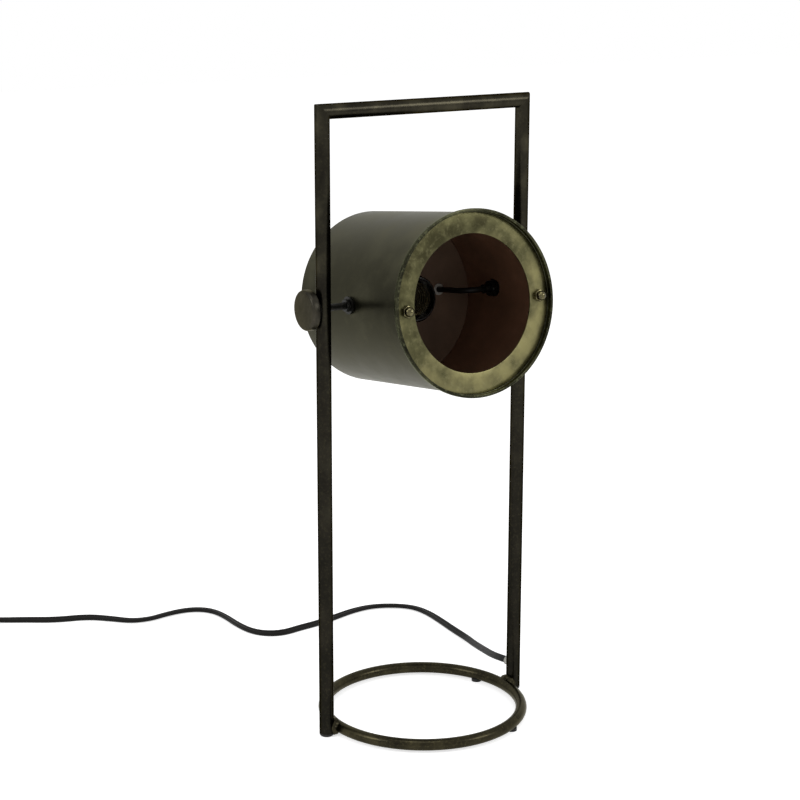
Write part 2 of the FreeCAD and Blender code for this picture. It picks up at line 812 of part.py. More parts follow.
def build_switch():
    """The in-line switch: two half shells, a rocker, contacts, screws and strain reliefs."""
    half = V(switch_length / 2, switch_width / 2, 0)
    whole = rounded_block(
        (-half.x, -half.y, 0), (half.x, half.y, switch_height), switch_corner_round, switch_edge_round
    )
    inner = switch_wall
    hollow = rounded_block(
        (-half.x + inner, -half.y + inner, inner),
        (half.x - inner, half.y - inner, switch_height - inner),
        switch_corner_round - inner,
        0,
    )
    shell = whole.cut(hollow)
    for side in (-1, 1):
        start = V(side * (half.x + 5), 0, switch_entry_height)
        shell = shell.cut(rod(cord_radius + grommet_bore_gap, start, start - V(side * 10, 0, 0)))
    reach = half.x + 5
    lower = shell.common(box((-reach, -reach, -1), (reach, reach, switch_split)))
    upper = shell.common(box((-reach, -reach, switch_split), (reach, reach, switch_height + 1)))

    opening = box(
        (-rocker_length / 2 - rocker_gap, -rocker_width / 2 - rocker_gap, switch_height - 2 * inner),
        (rocker_length / 2 + rocker_gap, rocker_width / 2 + rocker_gap, switch_height + 1),
    )
    upper = upper.cut(opening)
    axle_height = switch_height - rocker_pin_below_top
    under_top = switch_height - inner
    cheek_face = rocker_width / 2 + rocker_gap
    for side in (-1, 1):
        near = side * cheek_face
        far = side * (cheek_face + cheek_thickness)
        cheek = box(
            (-cheek_length / 2, min(near, far), under_top - cheek_depth),
            (cheek_length / 2, max(near, far), under_top + inner / 2),
        )
        upper = upper.fuse(cheek)
    pin_hole = rod(
        rocker_pin_radius + running_clearance,
        V(0, -cheek_face - rocker_pin_length - rocker_gap, axle_height),
        V(0, cheek_face + rocker_pin_length + rocker_gap, axle_height),
    )
    upper = upper.cut(pin_hole)

    screws = []
    for side in (-1, 1):
        foot = V(side * switch_screw_offset, side * 6.0, 0)
        post = rod(switch_post_radius, foot + V(0, 0, inner / 2), foot + V(0, 0, switch_split))
        lower = lower.fuse(post)
        boss_foot = foot + V(0, 0, switch_split)
        boss = rod(switch_post_radius, boss_foot, foot + V(0, 0, switch_height - inner / 2))
        upper = upper.fuse(boss)
        clear = switch_screw_radius + thread_gap
        lower = lower.cut(rod(clear, foot - V(0, 0, 1), foot + V(0, 0, switch_split + 1)))
        seat_top = switch_screw_head_height + 0.2
        seat = foot + V(0, 0, seat_top)
        lower = lower.cut(rod(switch_screw_head_radius + thread_gap, foot - V(0, 0, 1), seat))
        upper = upper.cut(rod(clear, foot, foot + V(0, 0, seat_top + switch_screw_length + thread_gap)))
        head = rod(switch_screw_head_radius, foot + V(0, 0, 0.2), foot + V(0, 0, seat_top))
        shank = rod(switch_screw_radius, seat, seat + V(0, 0, switch_screw_length))
        screws.append(head.fuse(shank).removeSplitter())
    save("switch_base", switch_place(lower.removeSplitter()))
    save("switch_cover", switch_place(upper.removeSplitter()))
    save("switch_screws", switch_place(group(screws)))

    reliefs = []
    for side in (-1, 1):
        start = V(side * half.x, 0, switch_entry_height)
        along = V(side, 0, 0)
        cone = Part.makeCone(switch_relief_thick, switch_relief_thin, switch_relief_length, start, along)
        bore = rod(cord_radius + thread_gap, start - along, start + along * (switch_relief_length + 1))
        reliefs.append(cone.cut(bore))
    save("switch_reliefs", switch_place(group(reliefs)))

    contacts = []
    for side in (-1, 1):
        middle = side * (contact_plate_length / 2 + 2)
        low = (middle - contact_plate_length / 2, -contact_plate_width / 2, inner)
        high = (middle + contact_plate_length / 2, contact_plate_width / 2, inner + contact_plate_thickness)
        foot = box(low, high)
        edge = side * 5.0
        upright = box(
            (edge - contact_plate_thickness / 2, low[1], inner),
            (edge + contact_plate_thickness / 2, high[1], inner + contact_plate_height),
        )
        contacts.append(foot.fuse(upright).removeSplitter())
    save("switch_contacts", switch_place(group(contacts)))

    length = rocker_length / 2
    top = switch_height + rocker_rise
    profile = [
        V(-length, 0, top),
        V(0, 0, top - rocker_rise),
        V(length, 0, top),
        V(length - 0.5, 0, top - rocker_body_depth + 1.5),
        V(length * 0.45, 0, top - rocker_body_depth - 2),
        V(-length * 0.45, 0, top - rocker_body_depth - 2),
        V(-length + 0.5, 0, top - rocker_body_depth + 1.5),
    ]
    rocker = Part.Face(Part.makePolygon(profile + profile[:1])).extrude(V(0, rocker_width, 0))
    rocker.translate(V(0, -rocker_width / 2, 0))
    pin_reach = rocker_width / 2 + rocker_gap + rocker_pin_length
    pin = rod(rocker_pin_radius, V(0, -pin_reach, axle_height), V(0, pin_reach, axle_height))
    rocker = rocker.fuse(pin).removeSplitter()
    rocker.rotate(V(0, 0, axle_height), V(0, 1, 0), -rocker_tilt)
    save("switch_rocker", switch_place(rocker))
    axle = switch_place(Part.Vertex(V(0, 0, axle_height))).BoundBox.Center
    across = FreeCAD.Rotation(V(1, 0, 0), switch_direction).multVec(V(0, 1, 0))
    print("rocker axle", [round(c, 3) for c in axle], "axis", [round(c, 4) for c in across])


def build_cord(mouth):
    """The free lead: grommet to switch, switch to coil, the coil and the tail to the plug."""
    points = [mouth] + [V(*p) for p in route_to_switch]
    to_switch, first_length = cord_tube("cord_to_switch", points, cord_radius)
    save("cord_to_switch", to_switch)

    entry = V(*route_to_switch[-1])
    leave = entry + switch_direction * (2 * switch_relief_length + switch_length)
    west = coil_centre_x - coil_outer_radius
    link_points = [leave] + [leave + V(*step) for step in link_from_switch]
    link_points.append(V(west, coil_centre_y + link_before_coil, cord_lift))
    link_points.append(V(west, coil_centre_y, cord_lift))
    centre = V(coil_centre_x, coil_centre_y, 0)
    coil_height = coil_layers * coil_step
    outside = coil_mean_radius + coil_band
    round_coil = rod(outside, centre, centre + V(0, 0, coil_height))
    link, link_length = cord_tube("cord_to_coil", link_points, cord_radius)
    save("cord_to_coil", link.cut(round_coil))
    inside = coil_mean_radius - coil_band
    save("cord_coil", pipe(outside, inside, centre, centre + V(0, 0, coil_height)))

    upper = coil_height - cord_lift
    tail_route = [V(west, coil_centre_y, upper)] + [V(*p) for p in tail_points]
    tail, tail_length = cord_tube("cord_tail", tail_route, cord_radius)
    save("cord_tail", tail.cut(round_coil))
    turns = coil_turns_across * coil_layers
    wound = 2 * math.pi * coil_mean_radius * turns
    print(f"coil: {turns} turns, {wound:.0f} mm wound, {2 * outside:.1f} across")
    total = first_length + 2 * switch_relief_length + switch_length + link_length + wound + tail_length
    print(f"lead in all: {total:.0f} mm")
    print("switch leaves at", [round(c, 2) for c in leave])


def build_plug():
    """The plug: moulded body, two round pins and a tapered strain relief."""
    start = V(*tail_points[-1])
    back = start.y - plug_relief_length
    front = back - plug_body_length
    relief = Part.makeCone(plug_relief_thin, plug_relief_thick, plug_relief_length, start, V(0, -1, 0))
    lead_end = start - V(0, plug_relief_length / 2, 0)
    save("plug_relief", relief.cut(rod(cord_radius + thread_gap, start, lead_end)))

    low = start.z - plug_thickness / 2
    shoulder = back - plug_body_length * plug_taper_share
    outline = [
        V(start.x - plug_back_width / 2, back, low),
        V(start.x + plug_back_width / 2, back, low),
        V(start.x + plug_width / 2, shoulder, low),
        V(start.x + plug_width / 2, front, low),
        V(start.x - plug_width / 2, front, low),
        V(start.x - plug_width / 2, shoulder, low),
    ]
    body = Part.Face(Part.makePolygon(outline + outline[:1])).extrude(V(0, 0, plug_thickness))
    body = body.makeFillet(plug_edge_round, [e for e in body.Edges if e.BoundBox.ZLength > 1])
    flat = [e for e in body.Edges if e.BoundBox.ZLength < 0.01]
    body = body.makeFillet(plug_edge_round - 0.5, flat)
    pins = []
    for side in (-1, 1):
        face = V(start.x + side * plug_pin_spacing / 2, front, start.z)
        seat = face + V(0, plug_pin_seat, 0)
        tip = face - V(0, plug_pin_length, 0)
        pin = rod(plug_pin_radius, face, tip)
        nose = [e for e in pin.Edges if e.Closed and e.BoundBox.YMax < tip.y + 0.1]
        root = rod(plug_pin_seat_radius, seat, face)
        pins.append(pin.makeFillet(plug_pin_round, nose).fuse(root))
        body = body.cut(root)
    save("plug_body", body)
    save("plug_pins", group(pins))


def main():
    """Build every sub-part."""
    mouth = build_frame()
    build_drum()
    lead_height = build_holder()
    build_pivots(lead_height)
    build_knobs()
    build_switch()
    build_cord(mouth)
    build_plug()
    print("cord exit", [round(c, 2) for c in mouth])


main()
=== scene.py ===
"""The looks of a tabletop searchlight lamp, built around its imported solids.

The lamp is a bronzed steel frame of round tube on a base ring, a drum-shaped head that tilts
between its uprights, an antique brass bezel and a flat twin lead with a switch and a plug.
"""

import logging
import math
from dataclasses import dataclass, field
from enum import Enum
from typing import Sequence

import bmesh
import bpy
from mathutils import Matrix, Vector, noise


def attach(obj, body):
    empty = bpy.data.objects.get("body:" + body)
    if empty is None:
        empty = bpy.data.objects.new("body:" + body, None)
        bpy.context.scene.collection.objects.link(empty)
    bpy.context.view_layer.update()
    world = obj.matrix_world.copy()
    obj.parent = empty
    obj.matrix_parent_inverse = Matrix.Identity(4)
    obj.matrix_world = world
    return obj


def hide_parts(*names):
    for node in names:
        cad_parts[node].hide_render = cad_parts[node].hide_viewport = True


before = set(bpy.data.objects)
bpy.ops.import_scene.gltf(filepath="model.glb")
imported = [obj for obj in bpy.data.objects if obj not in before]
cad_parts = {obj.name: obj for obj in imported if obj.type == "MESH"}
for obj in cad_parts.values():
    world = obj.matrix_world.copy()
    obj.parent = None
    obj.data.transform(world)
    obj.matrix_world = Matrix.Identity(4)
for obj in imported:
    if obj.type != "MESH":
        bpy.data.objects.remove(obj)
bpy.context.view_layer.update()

LOG = logging.getLogger("lamp")
MM = 0.001
Point = tuple[float, float, float]
Shape = bmesh.types.BMesh
Tree = bpy.types.NodeTree
Output = bpy.types.NodeSocket

# Corners nearer than this, in metres, are one corner, and edges flatter than this, in degrees, are
# shaded smooth
SAME_CORNER = 1e-7
SMOOTH_BELOW = 38.0

# The noise values between which roughness runs from its lower to its upper value, and those at
# which rubbed spots start and are full
NOISE_LOW, NOISE_HIGH = 0.3, 0.7
SPOT_START, SPOT_FULL = 0.52, 0.74

# The colour sockets of a Mix node, which share their names with its number sockets
MIX_UNDER, MIX_OVER, MIX_RESULT = 6, 7, 2

# Where the photograph was taken from, in the lamp's frame
CAMERA_PLACE = (-0.90376, -1.37327, 0.69966)
CAMERA_HEADING = 32.626
CAMERA_DROP = 14.042
CAMERA_ROLL = 0.10
LENS_MM = 88.16
SENSOR_MM = 36.0

# The head's own frame: its tilt, its pivot and the drum's axis below the pivot
HEAD_TILT = 7.0
PIVOT_HEIGHT = 380 * MM
AXIS_BELOW_PIVOT = 3 * MM


class Body(Enum):
    """The rigid bodies of the lamp."""

    FRAME = "frame"
    HEAD = "head"
    LEFT_KNOB = "left_knob"
    RIGHT_KNOB = "right_knob"
    ROCKER = "rocker"


class Socket(Enum):
    """Names of the main shader's inputs that the finishes set."""

    BASE = "Base Color"
    METAL = "Metallic"
    ROUGH = "Roughness"
    NORMAL = "Normal"
    SPECULAR = "Specular IOR Level"
    TINT = "Specular Tint"


def srgb(code: str) -> tuple[float, float, float, float]:
    """Turn an sRGB hex colour to a linear one.

    Args:
        code: Six hex digits after a hash.

    Returns:
        Linear red, green, blue and an alpha of one.
    """
    parts = [int(code[i : i + 2], 16) / 255 for i in (1, 3, 5)]
    linear = [c / 12.92 if c <= 0.04045 else ((c + 0.055) / 1.055) ** 2.4 for c in parts]
    return linear[0], linear[1], linear[2], 1.0


def add(tree: Tree, kind: str, inputs: dict | None = None, **settings: object) -> bpy.types.Node:
    """Add one node with its settings, input values and links.

    Args:
        tree: The node tree to add to.
        kind: The node's type name.
        inputs: Input name or number to a value, or to an output to link from.
        **settings: Properties of the node.

    Returns:
        The new node.
    """
    node = tree.nodes.new(kind)
    for name, value in settings.items():
        setattr(node, name, value)
    for name, value in (inputs or {}).items():
        socket = node.inputs[name]
        if isinstance(value, Output):
            tree.links.new(value, socket)
        else:
            socket.default_value = value
    return node


def per_metre(size_mm: float) -> float:
    """The texture scale at which one cell is as wide as a size in millimetres."""
    return 1000.0 / size_mm


@dataclass(frozen=True)
class Finish:
    """One surface of the lamp: its colours, its gloss and its fine relief."""

    name: str
    colours: tuple[tuple[float, str], ...]
    blotch_mm: float
    grain_mm: float
    grain_depth_mm: float
    rough: tuple[float, float]
    metal: float = 0.0
    specular: float = 0.5
    tint: str = "#ffffff"
    stretch: Point = (1.0, 1.0, 1.0)
    turn_degrees: Point = (0.0, 0.0, 0.0)

    def coordinates(self, tree: Tree) -> Output:
        """Turn and stretch the piece's own coordinates for the pattern.

        Args:
            tree: The node tree to add to.

        Returns:
            The coordinates.
        """
        source = add(tree, "ShaderNodeTexCoord").outputs["Object"]
        turn = tuple(math.radians(a) for a in self.turn_degrees)
        inputs = {"Vector": source, "Rotation": turn, "Scale": self.stretch}
        return add(tree, "ShaderNodeMapping", inputs, vector_type="POINT").outputs["Vector"]

    def blotches(self, tree: Tree, at: Output) -> Output:
        """The large soft pattern that carries the colours."""
        size = per_metre(self.blotch_mm)
        inputs = {"Vector": at, "Scale": size, "Detail": 5.0, "Roughness": 0.55}
        return add(tree, "ShaderNodeTexNoise", inputs).outputs["Fac"]

    def grain(self, tree: Tree, at: Output) -> Output:
        """The fine pattern that carries the relief."""
        inputs = {"Vector": at, "Scale": per_metre(self.grain_mm), "Detail": 2.0, "Roughness": 0.5}
        return add(tree, "ShaderNodeTexNoise", inputs).outputs["Fac"]

    def spread_colours(self, tree: Tree, pattern: Output) -> Output:
        """Lay the finish's colours over a pattern, from its dark to its light places.

        Args:
            tree: The node tree to add to.
            pattern: The pattern, from zero to one.

        Returns:
            The colour.
        """
        node = add(tree, "ShaderNodeValToRGB", {"Fac": pattern})
        band = node.color_ramp
        while len(band.elements) < len(self.colours):
            band.elements.new(0.5)
        for element, (place, code) in zip(band.elements, self.colours):
            element.position = place
            element.color = srgb(code)
        return node.outputs["Color"]

    def colour(self, tree: Tree, at: Output, blotch: Output) -> Output:
        """The surface colour."""
        return self.spread_colours(tree, blotch)

    def normal(self, tree: Tree, grain: Output) -> Output:
        """The surface's normal, raised by the fine pattern."""
        inputs = {"Height": grain, "Distance": self.grain_depth_mm * MM, "Strength": 1.0}
        return add(tree, "ShaderNodeBump", inputs).outputs["Normal"]

    def material(self) -> bpy.types.Material:
        """Build the material, once for the whole scene.

        Returns:
            The material of this finish.
        """
        ready = bpy.data.materials.get(self.name)
        if ready:
            return ready
        made = bpy.data.materials.new(self.name)
        made.use_nodes = True
        tree = made.node_tree
        tree.nodes.clear()
        at = self.coordinates(tree)
        blotch = self.blotches(tree, at)
        grain = self.grain(tree, at)
        limits = {"Value": blotch, "From Min": NOISE_LOW, "From Max": NOISE_HIGH,
                  "To Min": self.rough[0], "To Max": self.rough[1]}
        rough = add(tree, "ShaderNodeMapRange", limits).outputs["Result"]
        inputs = {
            Socket.BASE.value: self.colour(tree, at, blotch),
            Socket.ROUGH.value: rough,
            Socket.METAL.value: self.metal,
            Socket.SPECULAR.value: self.specular,
            Socket.TINT.value: srgb(self.tint),
            Socket.NORMAL.value: self.normal(tree, grain),
        }
        shader = add(tree, "ShaderNodeBsdfPrincipled", inputs)
        add(tree, "ShaderNodeOutputMaterial", {"Surface": shader.outputs["BSDF"]})
        return made


@dataclass(frozen=True)
class RubbedFinish(Finish):
    """Patinated metal with lighter rubbed spots, painted lighter on one side as light falls."""

    rubbed: str = "#6d684a"
    spot_mm: float = 2.2
    spot_share: float = 0.35
    # Painted light and shade: how much lighter per metre along a direction, and where it starts
    painted_light_slope: Point = (0.0, 0.0, 0.0)
    painted_light_from: Point = (0.0, 0.0, 0.0)

    def colour(self, tree: Tree, at: Output, blotch: Output) -> Output:
        """Paint light and shade across the piece along a slope, and lay rubbed spots over it.

        Args:
            tree: The node tree to add to.
            at: The coordinates of the pattern.
            blotch: The large soft pattern.

        Returns:
            The colour.
        """
        source = add(tree, "ShaderNodeTexCoord").outputs["Object"]
        inputs = {0: source, 1: self.painted_light_from}
        offset = add(tree, "ShaderNodeVectorMath", inputs, operation="SUBTRACT").outputs[0]
        inputs = {0: offset, 1: self.painted_light_slope}
        painted_light_lean = add(tree, "ShaderNodeVectorMath", inputs, operation="DOT_PRODUCT").outputs["Value"]
        blotch_with_painted_light = add(tree, "ShaderNodeMath", {0: blotch, 1: painted_light_lean}, operation="ADD").outputs[0]
        under = self.spread_colours(tree, blotch_with_painted_light)
        inputs = {"Vector": at, "Scale": per_metre(self.spot_mm), "Detail": 6.0, "Roughness": 0.7}
        spots = add(tree, "ShaderNodeTexNoise", inputs).outputs["Fac"]
        limits = {"Value": spots, "From Min": SPOT_START, "From Max": SPOT_FULL,
                  "To Min": 0.0, "To Max": self.spot_share}
        share = add(tree, "ShaderNodeMapRange", limits).outputs["Result"]
        inputs = {"Factor": share, MIX_UNDER: under, MIX_OVER: srgb(self.rubbed)}
        return add(tree, "ShaderNodeMix", inputs, data_type="RGBA").outputs[MIX_RESULT]


# Oil-rubbed bronze lacquer on drawn steel tube: near black with soft olive-bronze clouding, and
# fine rubbed flecks that catch the light along the tube. Painted light makes it lighter towards
# the top bar and painted shade darker towards the feet.
TUBE_BRONZE = RubbedFinish(
    name="bronze_lacquer_on_steel_tube",
    colours=((0.25, "#1a1915"), (0.48, "#211f1a"), (0.64, "#292720"), (0.82, "#3a372c")),
    blotch_mm=24.0, grain_mm=1.6, grain_depth_mm=0.004, rough=(0.23, 0.31), metal=1.0,
    rubbed="#504c37", spot_share=0.25, painted_light_slope=(0.0, 0.0, 0.6), painted_light_from=(0.0, 0.0, 0.3),
    tint="#a3a198",
)

# The same lacquer on the thicker ring rod, rubbed more: tan flecks on brown black.
RING_BRONZE = RubbedFinish(
    name="bronze_lacquer_on_ring_rod",
    colours=((0.30, "#211f18"), (0.52, "#2d2a1f"), (0.74, "#3f3b2a")),
    blotch_mm=20.0, grain_mm=1.4, grain_depth_mm=0.006, rough=(0.24, 0.34), metal=1.0,
    rubbed="#6b6445", spot_share=0.3, tint="#dddbd2",
)

# Satin grey-olive lacquer over rolled sheet steel: smooth, with broad clouding that turns olive
# where it is thin, and a soft shine that pales towards the drum's upper and lower edges. Painted
# light makes the drum lighter towards its top and front, and painted shade darker below.
DRUM_LACQUER = RubbedFinish(
    name="satin_olive_lacquer_on_sheet_steel",
    colours=((0.36, "#14130e"), (0.50, "#1e1d16"), (0.64, "#323127"), (0.80, "#454334")),
    blotch_mm=48.0, grain_mm=0.9, grain_depth_mm=0.002, rough=(0.33, 0.41), metal=1.0,
    rubbed="#56543f", spot_mm=11.0, spot_share=0.15, painted_light_slope=(0.0, -0.3, 1.6),
    painted_light_from=(0.0, 0.0, 0.37), tint="#d9d8ce",
)

# The same lacquer on the hemmed ring round the mouth, painted darker as the shade in and round
# the hem, so that only thin lines of light run round it.
SHADED_RIM_LACQUER = RubbedFinish(
    name="rim_lacquer_with_painted_shade",
    colours=((0.30, "#1b1b14"), (0.50, "#2b2b20"), (0.70, "#414130")),
    blotch_mm=30.0, grain_mm=0.9, grain_depth_mm=0.002, rough=(0.24, 0.32), metal=1.0,
    rubbed="#757859", spot_mm=3.0, spot_share=0.5, tint="#e2e4d4",
)

# Dark red-brown primer inside the drum: matt and a little coppery where light reaches it.
INNER_PRIMER = Finish(
    name="red_brown_primer_inside_drum",
    colours=((0.30, "#614431"), (0.55, "#6e4d38"), (0.75, "#7b5842")),
    blotch_mm=30.0, grain_mm=0.8, grain_depth_mm=0.01, rough=(0.5, 0.62), metal=0.1,
)

# The same primer on the plate behind the lamp: duller, and painted darker and browner as the
# shade at the back of the drum.
SHADED_PLATE_PRIMER = Finish(
    name="primer_with_painted_shade_on_mount_plate",
    colours=((0.30, "#5c4837"), (0.55, "#67513f"), (0.75, "#725a47")),
    blotch_mm=26.0, grain_mm=0.7, grain_depth_mm=0.01, rough=(0.55, 0.7),
)

# Antique brass sheet: olive gold, cloudy, with short brush marks and paler rubbed places, and
# painted shade towards the upper left and painted reflection towards the lower right.
BEZEL_BRASS = RubbedFinish(
    name="antique_brass_sheet",
    colours=((0.24, "#3a3825"), (0.42, "#504e35"), (0.58, "#656143"), (0.76, "#79744f")),
    blotch_mm=17.0, grain_mm=0.7, grain_depth_mm=0.012, rough=(0.24, 0.42), metal=1.0,
    rubbed="#8f8a66", spot_mm=4.5, spot_share=0.3, painted_light_slope=(1.7, 0.0, -2.6),
    painted_light_from=(0.0, 0.0, 0.375), stretch=(1.0, 0.55, 1.0), turn_degrees=(0.0, 38.0, 0.0),
)

# Antique brass nuts: the same alloy turned and polished, darker in the corners.
NUT_BRASS = RubbedFinish(
    name="antique_brass_turned",
    colours=((0.30, "#38342a"), (0.55, "#575239"), (0.75, "#7a7555")),
    blotch_mm=3.0, grain_mm=0.4, grain_depth_mm=0.006, rough=(0.18, 0.30), metal=1.0,
    rubbed="#b3ae8c", spot_mm=1.2, spot_share=0.4,
)

# Bronze lacquer on turned brass knobs: warm dark grey, smooth, softly clouded.
KNOB_LACQUER = RubbedFinish(
    name="bronze_lacquer_on_turned_knob",
    colours=((0.30, "#262420"), (0.52, "#302e28"), (0.72, "#3c3830")),
    blotch_mm=12.0, grain_mm=0.6, grain_depth_mm=0.004, rough=(0.30, 0.38), metal=0.9,
    rubbed="#554f42", spot_share=0.3, tint="#ccc8b8",
)

# Blackened steel of studs, nuts and washers: oily black with a dull sheen.
DARK_STEEL = Finish(
    name="blackened_steel",
    colours=((0.3, "#1a1a18"), (0.55, "#262522"), (0.75, "#35332e")),
    blotch_mm=2.5, grain_mm=0.35, grain_depth_mm=0.008, rough=(0.32, 0.5), metal=0.9,
)

# Zinc-plated screws and standoffs: light grey with a faint yellow bloom.
ZINC_STEEL = Finish(
    name="zinc_plated_steel",
    colours=((0.3, "#8d8c86"), (0.55, "#a3a29a"), (0.75, "#b5b3a4")),
    blotch_mm=1.8, grain_mm=0.3, grain_depth_mm=0.006, rough=(0.26, 0.42), metal=1.0,
)

# Black phenolic of the lamp holder: hard, glossy, very slightly brown.
PHENOLIC = Finish(
    name="black_phenolic_moulding",
    colours=((0.3, "#100e0c"), (0.7, "#1a1714")),
    blotch_mm=6.0, grain_mm=0.5, grain_depth_mm=0.004, rough=(0.14, 0.24), specular=0.6,
)

# White steatite inside the holder: fired, dull and faintly warm.
STEATITE = Finish(
    name="fired_steatite",
    colours=((0.3, "#d8d2c4"), (0.7, "#e9e4d8")),
    blotch_mm=4.0, grain_mm=0.4, grain_depth_mm=0.01, rough=(0.45, 0.6),
)

# Brass of the screw shell and the contacts: dull gold, painted dark brown as the shade inside
# the holder.
SHADED_SHELL_BRASS = Finish(
    name="brass_of_screw_shell_with_painted_shade",
    colours=((0.3, "#2f2a1c"), (0.7, "#3d3625")),
    blotch_mm=5.0, grain_mm=0.5, grain_depth_mm=0.004, rough=(0.2, 0.32), metal=1.0,
)

# Black rubber of the feet: matt, with a fine moulding texture.
RUBBER = Finish(
    name="black_rubber_feet",
    colours=((0.3, "#171716"), (0.7, "#22211f")),
    blotch_mm=3.0, grain_mm=0.35, grain_depth_mm=0.03, rough=(0.7, 0.85), specular=0.35,
)

# Pale nylon grommets: milky grey-beige, half matt.
PALE_NYLON = Finish(
    name="pale_nylon_grommet",
    colours=((0.3, "#a8a69e"), (0.7, "#c2c0b8")),
    blotch_mm=2.0, grain_mm=0.3, grain_depth_mm=0.006, rough=(0.4, 0.55),
)

# Black vinyl of the twin lead: satin, a little dusty, with faint extrusion marks.
VINYL = Finish(
    name="black_vinyl_lead",
    colours=((0.3, "#0e0d0b"), (0.55, "#131210"), (0.75, "#191815")),
    blotch_mm=12.0, grain_mm=0.5, grain_depth_mm=0.004, rough=(0.42, 0.5), specular=0.12,
)

# Black moulded switch and plug: spark-eroded grain, about 0.4 mm, drawn twice as coarse to show.
GRAINED_MOULDING = Finish(
    name="grained_black_moulding",
    colours=((0.3, "#181716"), (0.7, "#232220")),
    blotch_mm=8.0, grain_mm=0.8, grain_depth_mm=0.035, rough=(0.42, 0.56),
)

# The rocker: the same plastic with a smooth, glossier face.
SMOOTH_MOULDING = Finish(
    name="smooth_black_moulding",
    colours=((0.3, "#131312"), (0.7, "#1c1b1a")),
    blotch_mm=6.0, grain_mm=0.5, grain_depth_mm=0.006, rough=(0.2, 0.32),
)

# Nickel-plated plug pins: bright, faintly warm, with fine wear lines.
NICKEL = Finish(
    name="nickel_plated_pins",
    colours=((0.3, "#b6b2a8"), (0.7, "#cfcbc0")),
    blotch_mm=2.5, grain_mm=0.3, grain_depth_mm=0.004, rough=(0.14, 0.26), metal=1.0,
)


def head_place() -> Matrix:
    """Place a shape that is drawn in the head's own frame.

    Returns:
        The turn and place that take it to the lamp's frame.
    """
    turn = Matrix.Rotation(math.radians(90 - HEAD_TILT), 4, "X")
    centre = Vector((0, 0, PIVOT_HEIGHT)) - turn.to_3x3() @ Vector((0, AXIS_BELOW_PIVOT, 0))
    return Matrix.Translation(centre) @ turn


def turned(shape: Shape, outline: Sequence[tuple[float, float]], steps: int = 128) -> None:
    """Turn a closed outline about Z, as on a lathe.

    Args:
        shape: The mesh to add to.
        outline: Corners as radius and height, in metres.
        steps: How many faces go round.
    """
    corners = [shape.verts.new((r, 0, z)) for r, z in outline]
    edges = [shape.edges.new(pair) for pair in zip(corners, corners[1:] + corners[:1])
             if max(pair[0].co.x, pair[1].co.x) > SAME_CORNER]
    bmesh.ops.spin(shape, geom=corners + edges, cent=(0, 0, 0), axis=(0, 0, 1), dvec=(0, 0, 0),
                   angle=math.tau, steps=steps, use_merge=True)
    bmesh.ops.remove_doubles(shape, verts=shape.verts, dist=SAME_CORNER)


def hoop(shape: Shape, radius: float, section: float, height: float, steps: int,
         sides: int) -> None:
    """Bend a round bar into a closed hoop about Z.

    Args:
        shape: The mesh to add to.
        radius: From the middle of the hoop to the middle of the bar.
        section: The bar's radius.
        height: The hoop's height.
        steps: How many faces go round the hoop.
        sides: How many faces go round the bar.
    """
    at = Matrix.Translation((radius, 0, height)) @ Matrix.Rotation(math.pi / 2, 4, "X")
    made = bmesh.ops.create_circle(shape, cap_ends=False, segments=sides, radius=section, matrix=at)
    ring = made["verts"]
    edges = list({edge for vert in ring for edge in vert.link_edges})
    bmesh.ops.spin(shape, geom=ring + edges, cent=(0, 0, 0), axis=(0, 0, 1), dvec=(0, 0, 0),
                   angle=math.tau, steps=steps, use_merge=True)


def join(shape: Shape, part: Shape) -> None:
    """Put a second shape into the first.

    Args:
        shape: The shape that takes the other in.
        part: The shape that is taken in and freed.
    """
    carrier = bpy.data.meshes.new("carrier")
    part.to_mesh(carrier)
    part.free()
    shape.from_mesh(carrier)
    bpy.data.meshes.remove(carrier)


def soften(shape: Shape, width: float, segments: int = 3, sharper_than: float = 30.0) -> None:
    """Round every edge that is sharper than an angle.

    Args:
        shape: The mesh to change.
        width: How far the rounding reaches, in metres.
        segments: How many faces it has.
        sharper_than: The angle between faces, in degrees.
    """
    limit = math.radians(sharper_than)
    sharp = [edge for edge in shape.edges if edge.is_manifold and edge.calc_face_angle(0) > limit]
    bmesh.ops.bevel(shape, geom=sharp, offset=width, offset_type="OFFSET", affect="EDGES",
                    segments=segments, profile=0.5, material=-1, clamp_overlap=True)


def deliver(shape: Shape, name: str, body: Body, nodes: Sequence[str],
            finishes: Sequence[Finish], place: Matrix | None = None) -> bpy.types.Object:
    """Turn a finished shape into a piece of the lamp.

    Args:
        shape: The mesh, which is freed.
        name: The piece's name.
        body: The body it moves with.
        nodes: The CAD nodes it stands for.
        finishes: Its finishes, in the order of the faces' material numbers.
        place: A turn and place for the shape.

    Returns:
        The new object.
    """
    if place is not None:
        bmesh.ops.transform(shape, matrix=place, verts=shape.verts)
    bmesh.ops.recalc_face_normals(shape, faces=shape.faces)
    for face in shape.faces:
        face.smooth = True
    for edge in shape.edges:
        edge.smooth = edge.calc_face_angle(0) < math.radians(SMOOTH_BELOW)
    mesh = bpy.data.meshes.new(name)
    shape.to_mesh(mesh)
    shape.free()
    piece = bpy.data.objects.new(name, mesh)
    bpy.context.scene.collection.objects.link(piece)
    for finish in finishes:
        mesh.materials.append(finish.material())
    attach(piece, body.value)
    if nodes:
        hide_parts(*nodes)
    LOG.info("%s on %s: %d faces", name, body.value, len(mesh.polygons))
    return piece


def dress(finish: Finish, *nodes: str) -> None:
    """Give carried-over CAD nodes a finish.

    Args:
        finish: The finish.
        *nodes: The nodes' names.
    """
    for name in nodes:
        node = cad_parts[name]
        if not node.material_slots:
            node.data.materials.append(None)
        for held in node.material_slots:
            held.material = finish.material()
        LOG.info("%s dressed with %s", name, finish.name)


